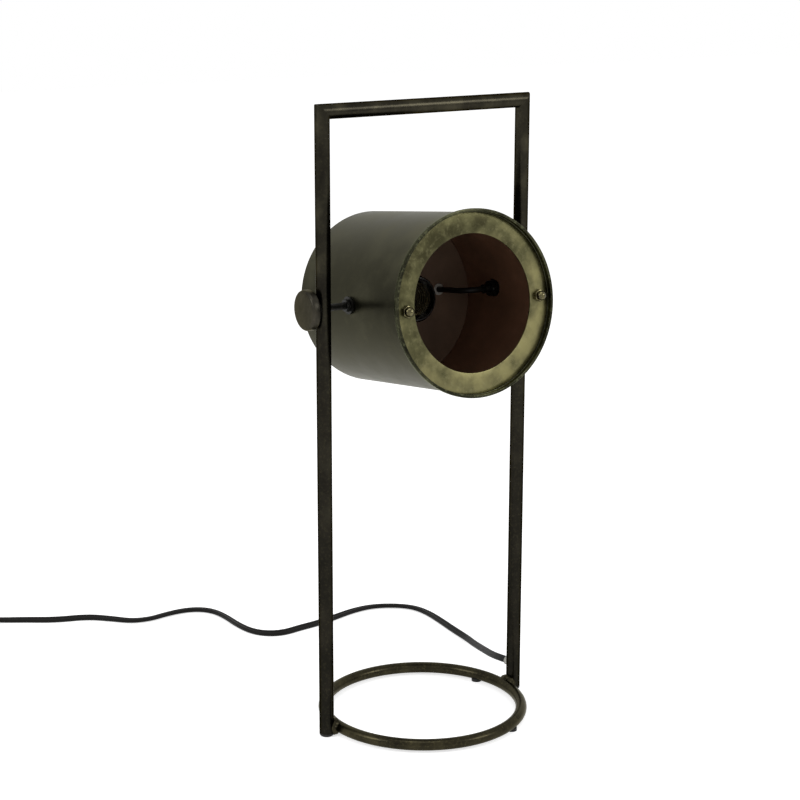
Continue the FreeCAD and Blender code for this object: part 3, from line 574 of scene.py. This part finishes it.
@dataclass
class Studio:
    """The camera, the lamps, the white floor and the white surroundings."""

    floor_size: float = 12.0
    ambient: float = 0.5
    floor_glow: float = 0.62
    aim_height: float = 0.3
    lamps: dict[str, tuple[Point, float, float]] = field(default_factory=lambda: {
        "left": ((-2.1, 0.1, 1.5), 0.8, 15.0),
        "right": ((1.3, -1.8, 1.4), 0.8, 15.0),
        "top": ((-0.3, -0.3, 2.5), 1.0, 9.0),
    })

    def build(self) -> None:
        """Set up everything that isn't the lamp."""
        self.place_camera()
        for name, (place, size, power) in self.lamps.items():
            self.hang_lamp(name, place, size, power)
        self.lay_floor()
        self.light_world()
        bpy.context.scene.view_settings.view_transform = "Standard"

    def place_camera(self) -> None:
        """Put the camera where the photograph was taken from."""
        camera = bpy.data.cameras.new("camera")
        camera.lens = LENS_MM
        camera.sensor_width = SENSOR_MM
        holder = bpy.data.objects.new("camera", camera)
        bpy.context.scene.collection.objects.link(holder)
        heading = Matrix.Rotation(math.radians(-CAMERA_HEADING), 4, "Z")
        tip = Matrix.Rotation(math.radians(90 - CAMERA_DROP), 4, "X")
        roll = Matrix.Rotation(math.radians(CAMERA_ROLL), 4, "Z")
        holder.matrix_world = Matrix.Translation(CAMERA_PLACE) @ heading @ tip @ roll
        bpy.context.scene.camera = holder

    def hang_lamp(self, name: str, place: Point, size: float, power: float) -> None:
        """Hang one square lamp that faces the middle of the object.

        Args:
            name: The lamp's name.
            place: Where it hangs, in metres.
            size: Its side, in metres.
            power: Its power in watts.
        """
        lamp = bpy.data.lights.new(name, "AREA")
        lamp.shape = "SQUARE"
        lamp.size = size
        lamp.energy = power
        holder = bpy.data.objects.new(name, lamp)
        bpy.context.scene.collection.objects.link(holder)
        holder.location = place
        towards = Vector((0, 0, self.aim_height)) - Vector(place)
        holder.rotation_euler = towards.to_track_quat("-Z", "Y").to_euler()

    def seen_directly(self, tree: Tree) -> Output:
        """Tell what is seen from the light that falls on surfaces.

        Args:
            tree: The node tree to add to.

        Returns:
            One for what the camera, a gloss or a glass sees, and zero for the rest.
        """
        path = add(tree, "ShaderNodeLightPath")
        first = {0: path.outputs["Is Camera Ray"], 1: path.outputs["Is Glossy Ray"]}
        either = add(tree, "ShaderNodeMath", first, operation="MAXIMUM").outputs[0]
        second = {0: either, 1: path.outputs["Is Transmission Ray"]}
        return add(tree, "ShaderNodeMath", second, operation="MAXIMUM").outputs[0]

    def lay_floor(self) -> None:
        """Lay a white floor that keeps the lamp's shadow."""
        shape = bmesh.new()
        bmesh.ops.create_grid(shape, x_segments=1, y_segments=1, size=self.floor_size / 2)
        mesh = bpy.data.meshes.new("floor")
        shape.to_mesh(mesh)
        shape.free()
        floor = bpy.data.objects.new("floor", mesh)
        bpy.context.scene.collection.objects.link(floor)
        # White background paper: matt and bright, without a gloss of its own
        white = bpy.data.materials.new("white_paper_floor")
        white.use_nodes = True
        tree = white.node_tree
        tree.nodes.clear()
        inputs = {0: self.seen_directly(tree), 1: self.floor_glow}
        glow = add(tree, "ShaderNodeMath", inputs, operation="MULTIPLY")
        inputs = {
            "Base Color": srgb("#f4f4f4"),
            "Roughness": 0.9,
            "Emission Color": srgb("#ffffff"),
            "Emission Strength": glow.outputs[0],
            "Specular IOR Level": 0.0,
        }
        shader = add(tree, "ShaderNodeBsdfPrincipled", inputs)
        add(tree, "ShaderNodeOutputMaterial", {"Surface": shader.outputs["BSDF"]})
        mesh.materials.append(white)

    def light_world(self) -> None:
        """Surround the lamp with white that lights it softly."""
        world = bpy.data.worlds.new("white_room")
        bpy.context.scene.world = world
        world.use_nodes = True
        tree = world.node_tree
        tree.nodes.clear()
        limits = {"Value": self.seen_directly(tree), "To Min": self.ambient, "To Max": 1.0}
        strength = add(tree, "ShaderNodeMapRange", limits).outputs["Result"]
        sky = add(tree, "ShaderNodeBackground", {"Color": srgb("#ffffff"), "Strength": strength})
        add(tree, "ShaderNodeOutputWorld", {"Surface": sky.outputs["Background"]})


@dataclass
class Lead:
    """The flat twin lead on one smooth line from the upright to the plug."""

    exit_point: Point = (99.55, 8.54, 25.0)
    to_switch: tuple[Point, ...] = (
        (100.0, 21.0, 23.2), (104.5, 40.0, 19.0), (113.5, 66.0, 13.3), (124.0, 97.0, 7.0),
        (132.5, 124.0, 3.2), (135.0, 150.0, 2.7), (138.2, 178.0, 2.7), (140.0, 204.0, 2.7),
        (136.5, 225.0, 2.7), (123.0, 240.0, 2.7), (102.0, 250.5, 2.7), (78.0, 250.0, 2.7),
        (52.0, 243.0, 2.7), (28.0, 237.5, 2.7), (8.0, 236.0, 2.7), (-8.5, 233.0, 2.7),
        (-21.5, 235.6, 2.7), (-32.5, 244.5, 2.7), (-38.5, 258.5, 2.7), (-40.5, 279.0, 2.7),
        (-40.0, 301.0, 2.7), (-42.0, 321.5, 2.7), (-50.0, 335.5, 2.7), (-65.0, 343.0, 2.7),
        (-86.0, 343.0, 2.7), (-108.0, 338.8, 2.7), (-126.5, 344.0, 2.7), (-140.5, 360.5, 2.7),
        (-159.0, 378.5, 2.7), (-190.0, 387.5, 2.7), (-215.0, 404.0, 2.7), (-240.0, 418.5, 2.7),
        (-266.0, 429.0, 6.5),
    )
    through_switch: tuple[Point, ...] = (
        (-286.0, 438.3, 6.5), (-316.0, 452.3, 6.5), (-336.7, 462.0, 6.5),
    )
    to_coil: tuple[Point, ...] = (
        (-351.2, 468.8, 5.0), (-369.2, 467.5, 2.7), (-384.3, 457.7, 2.7), (-393.3, 442.0, 2.7),
    )
    coil_centre: tuple[float, float] = (-359.6, 408.0)
    coil_radii: tuple[float, ...] = (33.7, 28.3, 28.3, 33.7)
    coil_heights: tuple[float, ...] = (2.5, 2.5, 6.1, 6.1)
    points_per_turn: int = 16
    even_share: float = 0.7
    steps_per_point: int = 8
    outline_steps: int = 3
    tail: tuple[Point, ...] = (
        (-393.0, 391.0, 6.0), (-391.0, 371.0, 4.6), (-388.0, 349.0, 2.4), (-386.5, 327.0, 3.6),
        (-387.0, 306.0, 6.85), (-387.0, 296.0, 6.85),
    )
    diameter: float = 5.4 * MM
    declared_length: float = 1.8
    tie_angle: float = 40.0
    tie_width: float = 5 * MM
    tie_thickness: float = 0.5 * MM
    tie_half_across: float = 6.7 * MM
    tie_half_height: float = 4.5 * MM
    tie_centre_height: float = 4.55 * MM
    tie_corner: float = 2 * MM
    # Half of the twin's outline, from its wide end to the groove between the two cores
    section: tuple[tuple[float, float], ...] = (
        (3.25, 0.0), (3.15, 1.1), (2.4, 1.9), (1.25, 2.1), (0.5, 1.8), (0.0, 1.45),
    )
    # How far the twin's wide side stands up at each point, from the upright to the switch
    twist_degrees: tuple[float, ...] = (
        -62.0, -62.0, -62.0, -60.0, -54.0, -36.0, -30.0, -18.0, -2.0, 10.0, 12.0, 8.0,
        -4.0, -16.0, -26.0, -30.0, -30.0, -28.0, -20.0, -10.0, 0.0, 8.0, 4.0, 0.0,
        2.0, 8.0, 8.0, 0.0, -14.0, -24.0, -28.0, -20.0, -8.0, 0.0,
    )

    def coil_points(self) -> list[Point]:
        """Lay the put-away turns, each even at first and then leading over to the next.

        Returns:
            The control points of the turns.
        """
        points = []
        count = self.points_per_turn
        even = count * self.even_share
        turns = list(zip(self.coil_radii, self.coil_heights))
        for here, after in zip(turns, turns[1:] + turns[-1:]):
            for k in range(count):
                part = max(0.0, (k - even) / (count - even))
                radius = here[0] + (after[0] - here[0]) * part
                height = here[1] + (after[1] - here[1]) * part
                angle = math.pi + math.tau * k / count
                wide = radius / math.cos(math.pi / count)
                x = self.coil_centre[0] + wide * math.cos(angle)
                y = self.coil_centre[1] + wide * math.sin(angle)
                points.append((x, y, height))
        return points

    def control_points(self) -> list[Point]:
        """All the points of the lead's one line, in millimetres."""
        return [self.exit_point, *self.to_switch, *self.through_switch, *self.to_coil,
                *self.coil_points(), *self.tail]

    def line(self) -> bpy.types.Curve:
        """Draw the lead's centre line.

        Returns:
            One open smooth spline, which twists as the lead does.
        """
        curve = bpy.data.curves.new("lead_line", "CURVE")
        curve.dimensions = "3D"
        curve.twist_mode = "Z_UP"
        curve.resolution_u = self.steps_per_point
        spline = curve.splines.new("NURBS")
        points = self.control_points()
        spline.points.add(len(points) - 1)
        for held, point in zip(spline.points, points):
            held.co = (point[0] * MM, point[1] * MM, point[2] * MM, 1.0)
        for held, turn in zip(spline.points, self.twist_degrees):
            held.tilt = math.radians(turn)
        spline.order_u = 3
        spline.use_endpoint_u = True
        return curve

    def profile(self) -> bpy.types.Object:
        """Draw the twin's outline: two round cores side by side with a groove between them.

        Returns:
            The closed outline.
        """
        curve = bpy.data.curves.new("lead_profile", "CURVE")
        curve.dimensions = "2D"
        curve.resolution_u = self.outline_steps
        quarter = list(self.section)
        upper = quarter + [(-x, y) for x, y in reversed(quarter[:-1])]
        whole = upper + [(x, -y) for x, y in reversed(upper[1:-1])]
        spline = curve.splines.new("NURBS")
        spline.points.add(len(whole) - 1)
        for held, (x, y) in zip(spline.points, whole):
            held.co = (x * MM, y * MM, 0.0, 1.0)
        spline.order_u = 3
        spline.use_cyclic_u = True
        return bpy.data.objects.new("lead_profile", curve)

    def drawn(self, holder: bpy.types.Object) -> bpy.types.Mesh:
        """Take the mesh that a curve draws.

        Args:
            holder: The curve's object.

        Returns:
            A new mesh.
        """
        bpy.context.view_layer.update()
        graph = bpy.context.evaluated_depsgraph_get()
        return bpy.data.meshes.new_from_object(holder.evaluated_get(graph))

    def build(self) -> None:
        curve = self.line()
        holder = bpy.data.objects.new("lead_line", curve)
        bpy.context.scene.collection.objects.link(holder)
        path = [tuple(vert.co) for vert in self.drawn(holder).vertices]
        profile = self.profile()
        bpy.context.scene.collection.objects.link(profile)
        curve.bevel_mode = "OBJECT"
        curve.bevel_object = profile
        curve.use_fill_caps = True
        shape = bmesh.new()
        shape.from_mesh(self.drawn(holder))
        bmesh.ops.remove_doubles(shape, verts=shape.verts, dist=SAME_CORNER)
        for helper in (holder, profile):
            bpy.data.objects.remove(helper)
        nodes = ["cord_to_switch", "cord_to_coil", "cord_coil", "cord_tail"]
        lead = deliver(shape, "twin_lead", Body.FRAME, nodes, [VINYL])
        tie = self.tie_coil()

    def tie_coil(self) -> bpy.types.Object:
        """Wrap the band that holds the put-away coil.

        Returns:
            The band's piece.
        """
        shape = bmesh.new()
        sides = (2 * self.tie_half_across, self.tie_width, 2 * self.tie_half_height, 1.0)
        bmesh.ops.create_cube(shape, size=1.0, matrix=Matrix.Diagonal(sides))
        ends = [face for face in shape.faces if abs(face.normal.y) > 0.5]
        bmesh.ops.delete(shape, geom=ends, context="FACES_ONLY")
        corners = [edge for edge in shape.edges if edge.is_manifold]
        bmesh.ops.bevel(shape, geom=corners, offset=self.tie_corner, offset_type="OFFSET",
                        affect="EDGES", segments=6, profile=0.5, material=-1, clamp_overlap=True)
        bmesh.ops.recalc_face_normals(shape, faces=shape.faces)
        bmesh.ops.solidify(shape, geom=shape.faces, thickness=self.tie_thickness)
        bmesh.ops.recalc_face_normals(shape, faces=shape.faces)
        across = (min(self.coil_radii) + max(self.coil_radii)) / 2 * MM
        middle_x, middle_y = self.coil_centre
        centre = Matrix.Translation((middle_x * MM, middle_y * MM, self.tie_centre_height))
        turn = Matrix.Rotation(math.radians(self.tie_angle), 4, "Z")
        place = centre @ turn @ Matrix.Translation((across, 0, 0))
        finishes = [SMOOTH_MOULDING]
        return deliver(shape, "coil_tie", Body.FRAME, [], finishes, place)


@dataclass
class TubeFrame:
    """The mitred tube frame, its base ring and its welds."""

    tube_radius: float = 6.35 * MM
    upright_x: float = 100 * MM
    foot_height: float = 3 * MM
    bar_height: float = 541.65 * MM
    tube_sides: int = 64
    mitre_rounding: float = 0.5 * MM
    ring_radius: float = 88.55 * MM
    rod_radius: float = 5 * MM
    ring_height: float = 6.5 * MM
    ring_steps: int = 180
    rod_sides: int = 40
    weld_radius: float = 7.68 * MM
    weld_rise: float = 0.6 * MM
    weld_foot: float = 1 * MM
    weld_lump: float = 0.7 * MM
    # Lumps per metre of the weld's coarse swell and of its fine ripple, and the ripple's share
    weld_swell: float = 260.0
    weld_ripple: float = 620.0
    ripple_share: float = 0.5

    def build(self) -> None:
        """Make and dress the whole frame."""
        self.bend_tubes()
        self.roll_ring()
        for side, name in ((-1, "left_weld"), (1, "right_weld")):
            self.run_weld(side, name)
        dress(RUBBER, "ring_pads", "upright_glides")
        dress(DARK_STEEL, "knob_washers")
        dress(PALE_NYLON, "cord_grommet")
        dress(VINYL, "upright_lead")

    def bend_tubes(self) -> None:
        """Draw one tube up, across and down, with a mitre at each top corner."""
        shape = bmesh.new()
        foot = Matrix.Translation((-self.upright_x, 0, self.foot_height))
        ring = bmesh.ops.create_circle(shape, cap_ends=False, segments=self.tube_sides,
                                       radius=self.tube_radius, matrix=foot)["verts"]
        first = list({edge for vert in ring for edge in vert.link_edges})
        edges = first
        for leg in range(3):
            grown = bmesh.ops.extrude_edge_only(shape, edges=edges)["geom"]
            edges = [part for part in grown if isinstance(part, bmesh.types.BMEdge)]
            for vert in (part for part in grown if isinstance(part, bmesh.types.BMVert)):
                self.reach_corner(vert, leg)
        for loop in (first, edges):
            bmesh.ops.edgeloop_fill(shape, edges=loop)
        mitres = [edge for edge in shape.edges if self.on_mitre(edge)]
        bmesh.ops.bevel(shape, geom=mitres, offset=self.mitre_rounding, offset_type="OFFSET",
                        affect="EDGES", segments=3, profile=0.5, material=-1)
        nodes = ["left_upright", "right_upright", "top_bar"]
        deliver(shape, "tube_frame", Body.FRAME, nodes, [TUBE_BRONZE])

    def reach_corner(self, vert: bmesh.types.BMVert, leg: int) -> None:
        """Move a vertex of the drawn tube to the end of its leg.

        Args:
            vert: The vertex.
            leg: Zero up, one across, two down.
        """
        if leg == 0:
            vert.co.z = self.bar_height - (vert.co.x + self.upright_x)
        elif leg == 1:
            vert.co.x = self.upright_x + (vert.co.z - self.bar_height)
        else:
            vert.co.z = self.foot_height

    def on_mitre(self, edge: bmesh.types.BMEdge) -> bool:
        """Tell whether an edge lies in one of the two mitres.

        Args:
            edge: The edge.

        Returns:
            True in a mitre.
        """
        high = all(vert.co.z > self.bar_height - 2 * self.tube_radius for vert in edge.verts)
        same_side = edge.verts[0].co.x * edge.verts[1].co.x > 0
        return high and same_side

    def roll_ring(self) -> None:
        """Bend the base ring from round rod."""
        shape = bmesh.new()
        hoop(shape, self.ring_radius, self.rod_radius, self.ring_height, self.ring_steps,
             self.rod_sides)
        deliver(shape, "rolled_base_ring", Body.FRAME, ["base_ring"], [RING_BRONZE])

    def run_weld(self, side: int, name: str) -> None:
        """Run the weld between the ring and one upright.

        Args:
            side: Minus one on the left, one on the right.
            name: The CAD node's name.
        """
        shape = bmesh.new()
        seat_x = side * (self.upright_x - self.tube_radius)
        seat = Vector((seat_x, 0, self.ring_height + self.weld_rise))
        bmesh.ops.create_icosphere(shape, subdivisions=5, radius=self.weld_radius)
        for vert in shape.verts:
            ripple = self.ripple_share * noise.noise(vert.co * self.weld_ripple)
            swell = noise.noise(vert.co * self.weld_swell) + ripple
            vert.co += vert.co.normalized() * swell * self.weld_lump
            vert.co += seat
            vert.co.z = max(vert.co.z, self.weld_foot)
        deliver(shape, name + "_bead", Body.FRAME, [name], [RING_BRONZE])


@dataclass
class DrumHead:
    """The drum with the hemmed ring round its mouth, the bezel and its nuts."""

    radius: float = 75 * MM
    bore: float = 73.8 * MM
    front: float = 78.5 * MM
    back: float = -81.5 * MM
    hem_back: float = 74.6 * MM
    hem_radius: float = 78 * MM
    hem_bore: float = 75.6 * MM
    bezel_face: float = 73.5 * MM
    primer_edge: float = 70.5 * MM
    primer_start: float = -73 * MM
    bezel_thickness: float = 1.5 * MM
    bezel_radius: float = 75.3 * MM
    aperture: float = 57.5 * MM
    nut_circle: float = 65.65 * MM
    nut_flats: float = 9.2 * MM
    nut_base: float = 3.8 * MM
    dome_radius: float = 4.2 * MM
    nut_height: float = 8.8 * MM
    round_steps: int = 192
    nut_steps: int = 48
    sheet_rounding: float = 0.5 * MM
    bezel_rounding: float = 0.45 * MM
    nut_rounding: float = 0.35 * MM
    # How far past the bore a face is still primed, and how far behind the hem it is still the hem's
    primer_slack: float = 0.2 * MM
    hem_slack: float = 0.1 * MM
    place: Matrix = field(default_factory=head_place)

    def build(self) -> None:
        """Make and dress the head."""
        self.roll_shell()
        self.press_bezel()
        self.turn_nuts()
        dress(SHADED_PLATE_PRIMER, "mount_plate")
        dress(INNER_PRIMER, "bezel_lugs")
        dress(DRUM_LACQUER, "rear_cover")
        dress(ZINC_STEEL, "bezel_studs", "rear_standoffs")
        dress(DARK_STEEL, "rear_cover_screws", "left_pivot_stud", "left_stud_washers",
              "left_stud_nuts", "right_pivot_stud", "right_stud_washers", "right_stud_nuts")
        dress(PALE_NYLON, "plate_grommet")
        dress(VINYL, "head_lead")

    def roll_shell(self) -> None:
        """Roll the sheet into the drum, with the hemmed ring round its front."""
        shape = bmesh.new()
        seat = self.bezel_face - self.bezel_thickness
        turned(shape, [(self.bore, self.primer_start), (self.bore, self.back),
                       (self.radius, self.back), (self.radius, self.hem_back),
                       (self.hem_radius, self.hem_back), (self.hem_radius, self.front),
                       (self.hem_bore, self.front), (self.hem_bore, seat),
                       (self.bore, seat), (self.bore, self.primer_edge)], self.round_steps)
        soften(shape, self.sheet_rounding)
        finishes = [DRUM_LACQUER, INNER_PRIMER, SHADED_RIM_LACQUER]
        for face in shape.faces:
            middle = face.calc_center_median()
            primed = self.primer_start < middle.z < self.primer_edge
            if primed and math.hypot(middle.x, middle.y) < self.bore + self.primer_slack:
                face.material_index = finishes.index(INNER_PRIMER)
            # The hem's faces, inside and out, take the rim lacquer with its painted shade
            elif middle.z > self.hem_back - self.hem_slack:
                face.material_index = finishes.index(SHADED_RIM_LACQUER)
        deliver(shape, "rolled_drum", Body.HEAD, ["drum_shell"], finishes,
                self.place)

    def press_bezel(self) -> None:
        """Blank the bezel from sheet and ease its edges."""
        shape = bmesh.new()
        behind = self.bezel_face - self.bezel_thickness
        turned(shape, [(self.aperture, behind), (self.bezel_radius, behind),
                       (self.bezel_radius, self.bezel_face), (self.aperture, self.bezel_face)],
               self.round_steps)
        soften(shape, self.bezel_rounding)
        deliver(shape, "pressed_bezel", Body.HEAD, ["bezel_ring"], [BEZEL_BRASS],
                self.place)

    def turn_nuts(self) -> None:
        """Turn the two cap nuts that hold the bezel."""
        shape = bmesh.new()
        corner = self.nut_flats / math.sqrt(3)
        neck = self.nut_height - self.dome_radius
        steps, dome = self.nut_steps, self.dome_radius
        base_middle = Matrix.Translation((0, 0, self.nut_base / 2))
        neck_middle = Matrix.Translation((0, 0, neck / 2))
        neck_end = Matrix.Translation((0, 0, neck))
        for side in (-1, 1):
            nut = bmesh.new()
            bmesh.ops.create_cone(nut, cap_ends=True, segments=6, radius1=corner, radius2=corner,
                                  depth=self.nut_base, matrix=base_middle)
            soften(nut, self.nut_rounding)
            bmesh.ops.create_cone(nut, cap_ends=True, segments=steps, radius1=dome, radius2=dome,
                                  depth=neck, matrix=neck_middle)
            bmesh.ops.create_uvsphere(nut, u_segments=steps, v_segments=steps // 2, radius=dome,
                                      matrix=neck_end)
            move = Matrix.Translation((side * self.nut_circle, 0, self.bezel_face))
            bmesh.ops.transform(nut, matrix=move, verts=nut.verts)
            join(shape, nut)
        deliver(shape, "turned_cap_nuts", Body.HEAD, ["bezel_cap_nuts"],
                [NUT_BRASS], self.place)


@dataclass
class LampHolder:
    """The screw lamp holder on the mount plate."""

    thread_radius: float = 13.35 * MM
    thread_section: float = 0.55 * MM
    thread_pitch: float = 3.63 * MM
    thread_back: float = -34.5 * MM
    thread_turns: int = 5
    thread_sides: int = 10
    steps_per_turn: int = 64

    def roll_thread(self) -> None:
        """Roll the thread into the screw shell."""
        shape = bmesh.new()
        start = Matrix.Translation((self.thread_radius, 0, self.thread_back))
        upright = Matrix.Rotation(math.pi / 2, 4, "X")
        ring = bmesh.ops.create_circle(shape, cap_ends=False, segments=self.thread_sides,
                                       radius=self.thread_section, matrix=start @ upright)["verts"]
        edges = list({edge for vert in ring for edge in vert.link_edges})
        rise = self.thread_pitch / self.steps_per_turn
        steps = self.steps_per_turn * self.thread_turns
        bmesh.ops.spin(shape, geom=ring + edges, cent=(0, 0, 0), axis=(0, 0, 1),
                       dvec=(0, 0, rise), angle=math.tau * self.thread_turns, steps=steps)
        bmesh.ops.holes_fill(shape, edges=[edge for edge in shape.edges if edge.is_boundary])
        deliver(shape, "rolled_socket_thread", Body.HEAD, [], [SHADED_SHELL_BRASS],
                head_place())

    def build(self) -> None:
        """Roll the thread and dress the holder's parts."""
        self.roll_thread()
        dress(PHENOLIC, "holder_cap", "holder_clamp_ring", "holder_skirt")
        dress(STEATITE, "holder_core")
        dress(SHADED_SHELL_BRASS, "holder_screw_shell", "holder_contact")


@dataclass
class ClampKnobs:
    """The two knobs that clamp the head's tilt."""

    radius: float = 17 * MM
    face: float = 119.05 * MM
    shoulder: float = 111.05 * MM
    hub_radius: float = 7 * MM
    hub_end: float = 107.85 * MM
    rounding: float = 2.1 * MM
    hub_rounding: float = 0.5 * MM
    disc_steps: int = 96
    hub_steps: int = 64

    def build(self) -> None:
        """Turn both knobs."""
        self.turn_knob(-1, Body.LEFT_KNOB, "left_knob")
        self.turn_knob(1, Body.RIGHT_KNOB, "right_knob")

    def turn_knob(self, side: int, body: Body, node: str) -> None:
        """Turn one knob: a flat disc with a rounded rim on a short hub.

        Args:
            side: Minus one on the left, one on the right.
            body: The body it moves with.
            node: The CAD node it stands for.
        """
        shape = bmesh.new()
        turned(shape, [(0, self.shoulder), (self.radius, self.shoulder), (self.radius, self.face),
                       (0, self.face)], self.disc_steps)
        soften(shape, self.rounding, segments=6)
        hub = bmesh.new()
        hub_top = self.shoulder + self.rounding
        turned(hub, [(0, self.hub_end), (self.hub_radius, self.hub_end), (self.hub_radius, hub_top),
                     (0, hub_top)], self.hub_steps)
        soften(hub, self.hub_rounding)
        join(shape, hub)
        outwards = Matrix.Rotation(side * math.pi / 2, 4, "Y")
        place = Matrix.Translation((0, 0, PIVOT_HEIGHT)) @ outwards
        deliver(shape, "turned_" + node, body, [node], [KNOB_LACQUER], place)


@dataclass
class SwitchAndPlug:
    """The in-line rocker switch and the two-pin plug."""

    ridge_x: float = -387 * MM
    ridge_from: float = 260 * MM
    ridge_step: float = 3.6 * MM
    ridge_count: int = 5
    ridge_half_length: float = 8 * MM
    ridge_radius: float = 1.1 * MM
    ridge_taper: float = 0.09
    ridge_sunk_share: float = 0.6
    ridge_rounding: float = 0.3 * MM
    plug_top: float = 13.7 * MM

    def mould_ridges(self) -> None:
        """Mould the finger ridges on the plug's upper side."""
        shape = bmesh.new()
        height = self.plug_top - self.ridge_sunk_share * self.ridge_radius
        for k in range(self.ridge_count):
            half_length = self.ridge_half_length * (1.0 - self.ridge_taper * k)
            at = Matrix.Translation((self.ridge_x, self.ridge_from + k * self.ridge_step, height))
            lying = at @ Matrix.Rotation(math.pi / 2, 4, "Y")
            bmesh.ops.create_cone(shape, cap_ends=True, segments=20, radius1=self.ridge_radius,
                                  radius2=self.ridge_radius, depth=2 * half_length, matrix=lying)
        soften(shape, self.ridge_rounding, segments=2, sharper_than=60.0)
        deliver(shape, "plug_finger_ridges", Body.FRAME, [], [GRAINED_MOULDING])

    def build(self) -> None:
        """Mould the ridges and dress the switch and the plug."""
        self.mould_ridges()
        dress(GRAINED_MOULDING, "switch_base", "switch_cover", "switch_reliefs", "plug_body",
              "plug_relief")
        dress(SMOOTH_MOULDING, "switch_rocker")
        dress(ZINC_STEEL, "switch_screws")
        dress(SHADED_SHELL_BRASS, "switch_contacts")
        dress(NICKEL, "plug_pins")


def main() -> None:
    """Build the studio and the lamp, and report each piece."""
    logging.basicConfig(level=logging.INFO, format="%(name)s: %(message)s")
    Studio().build()
    Lead().build()
    for assembly in (TubeFrame(), DrumHead(), LampHolder(), ClampKnobs(), SwitchAndPlug()):
        assembly.build()


if __name__ == "__main__":
    main()
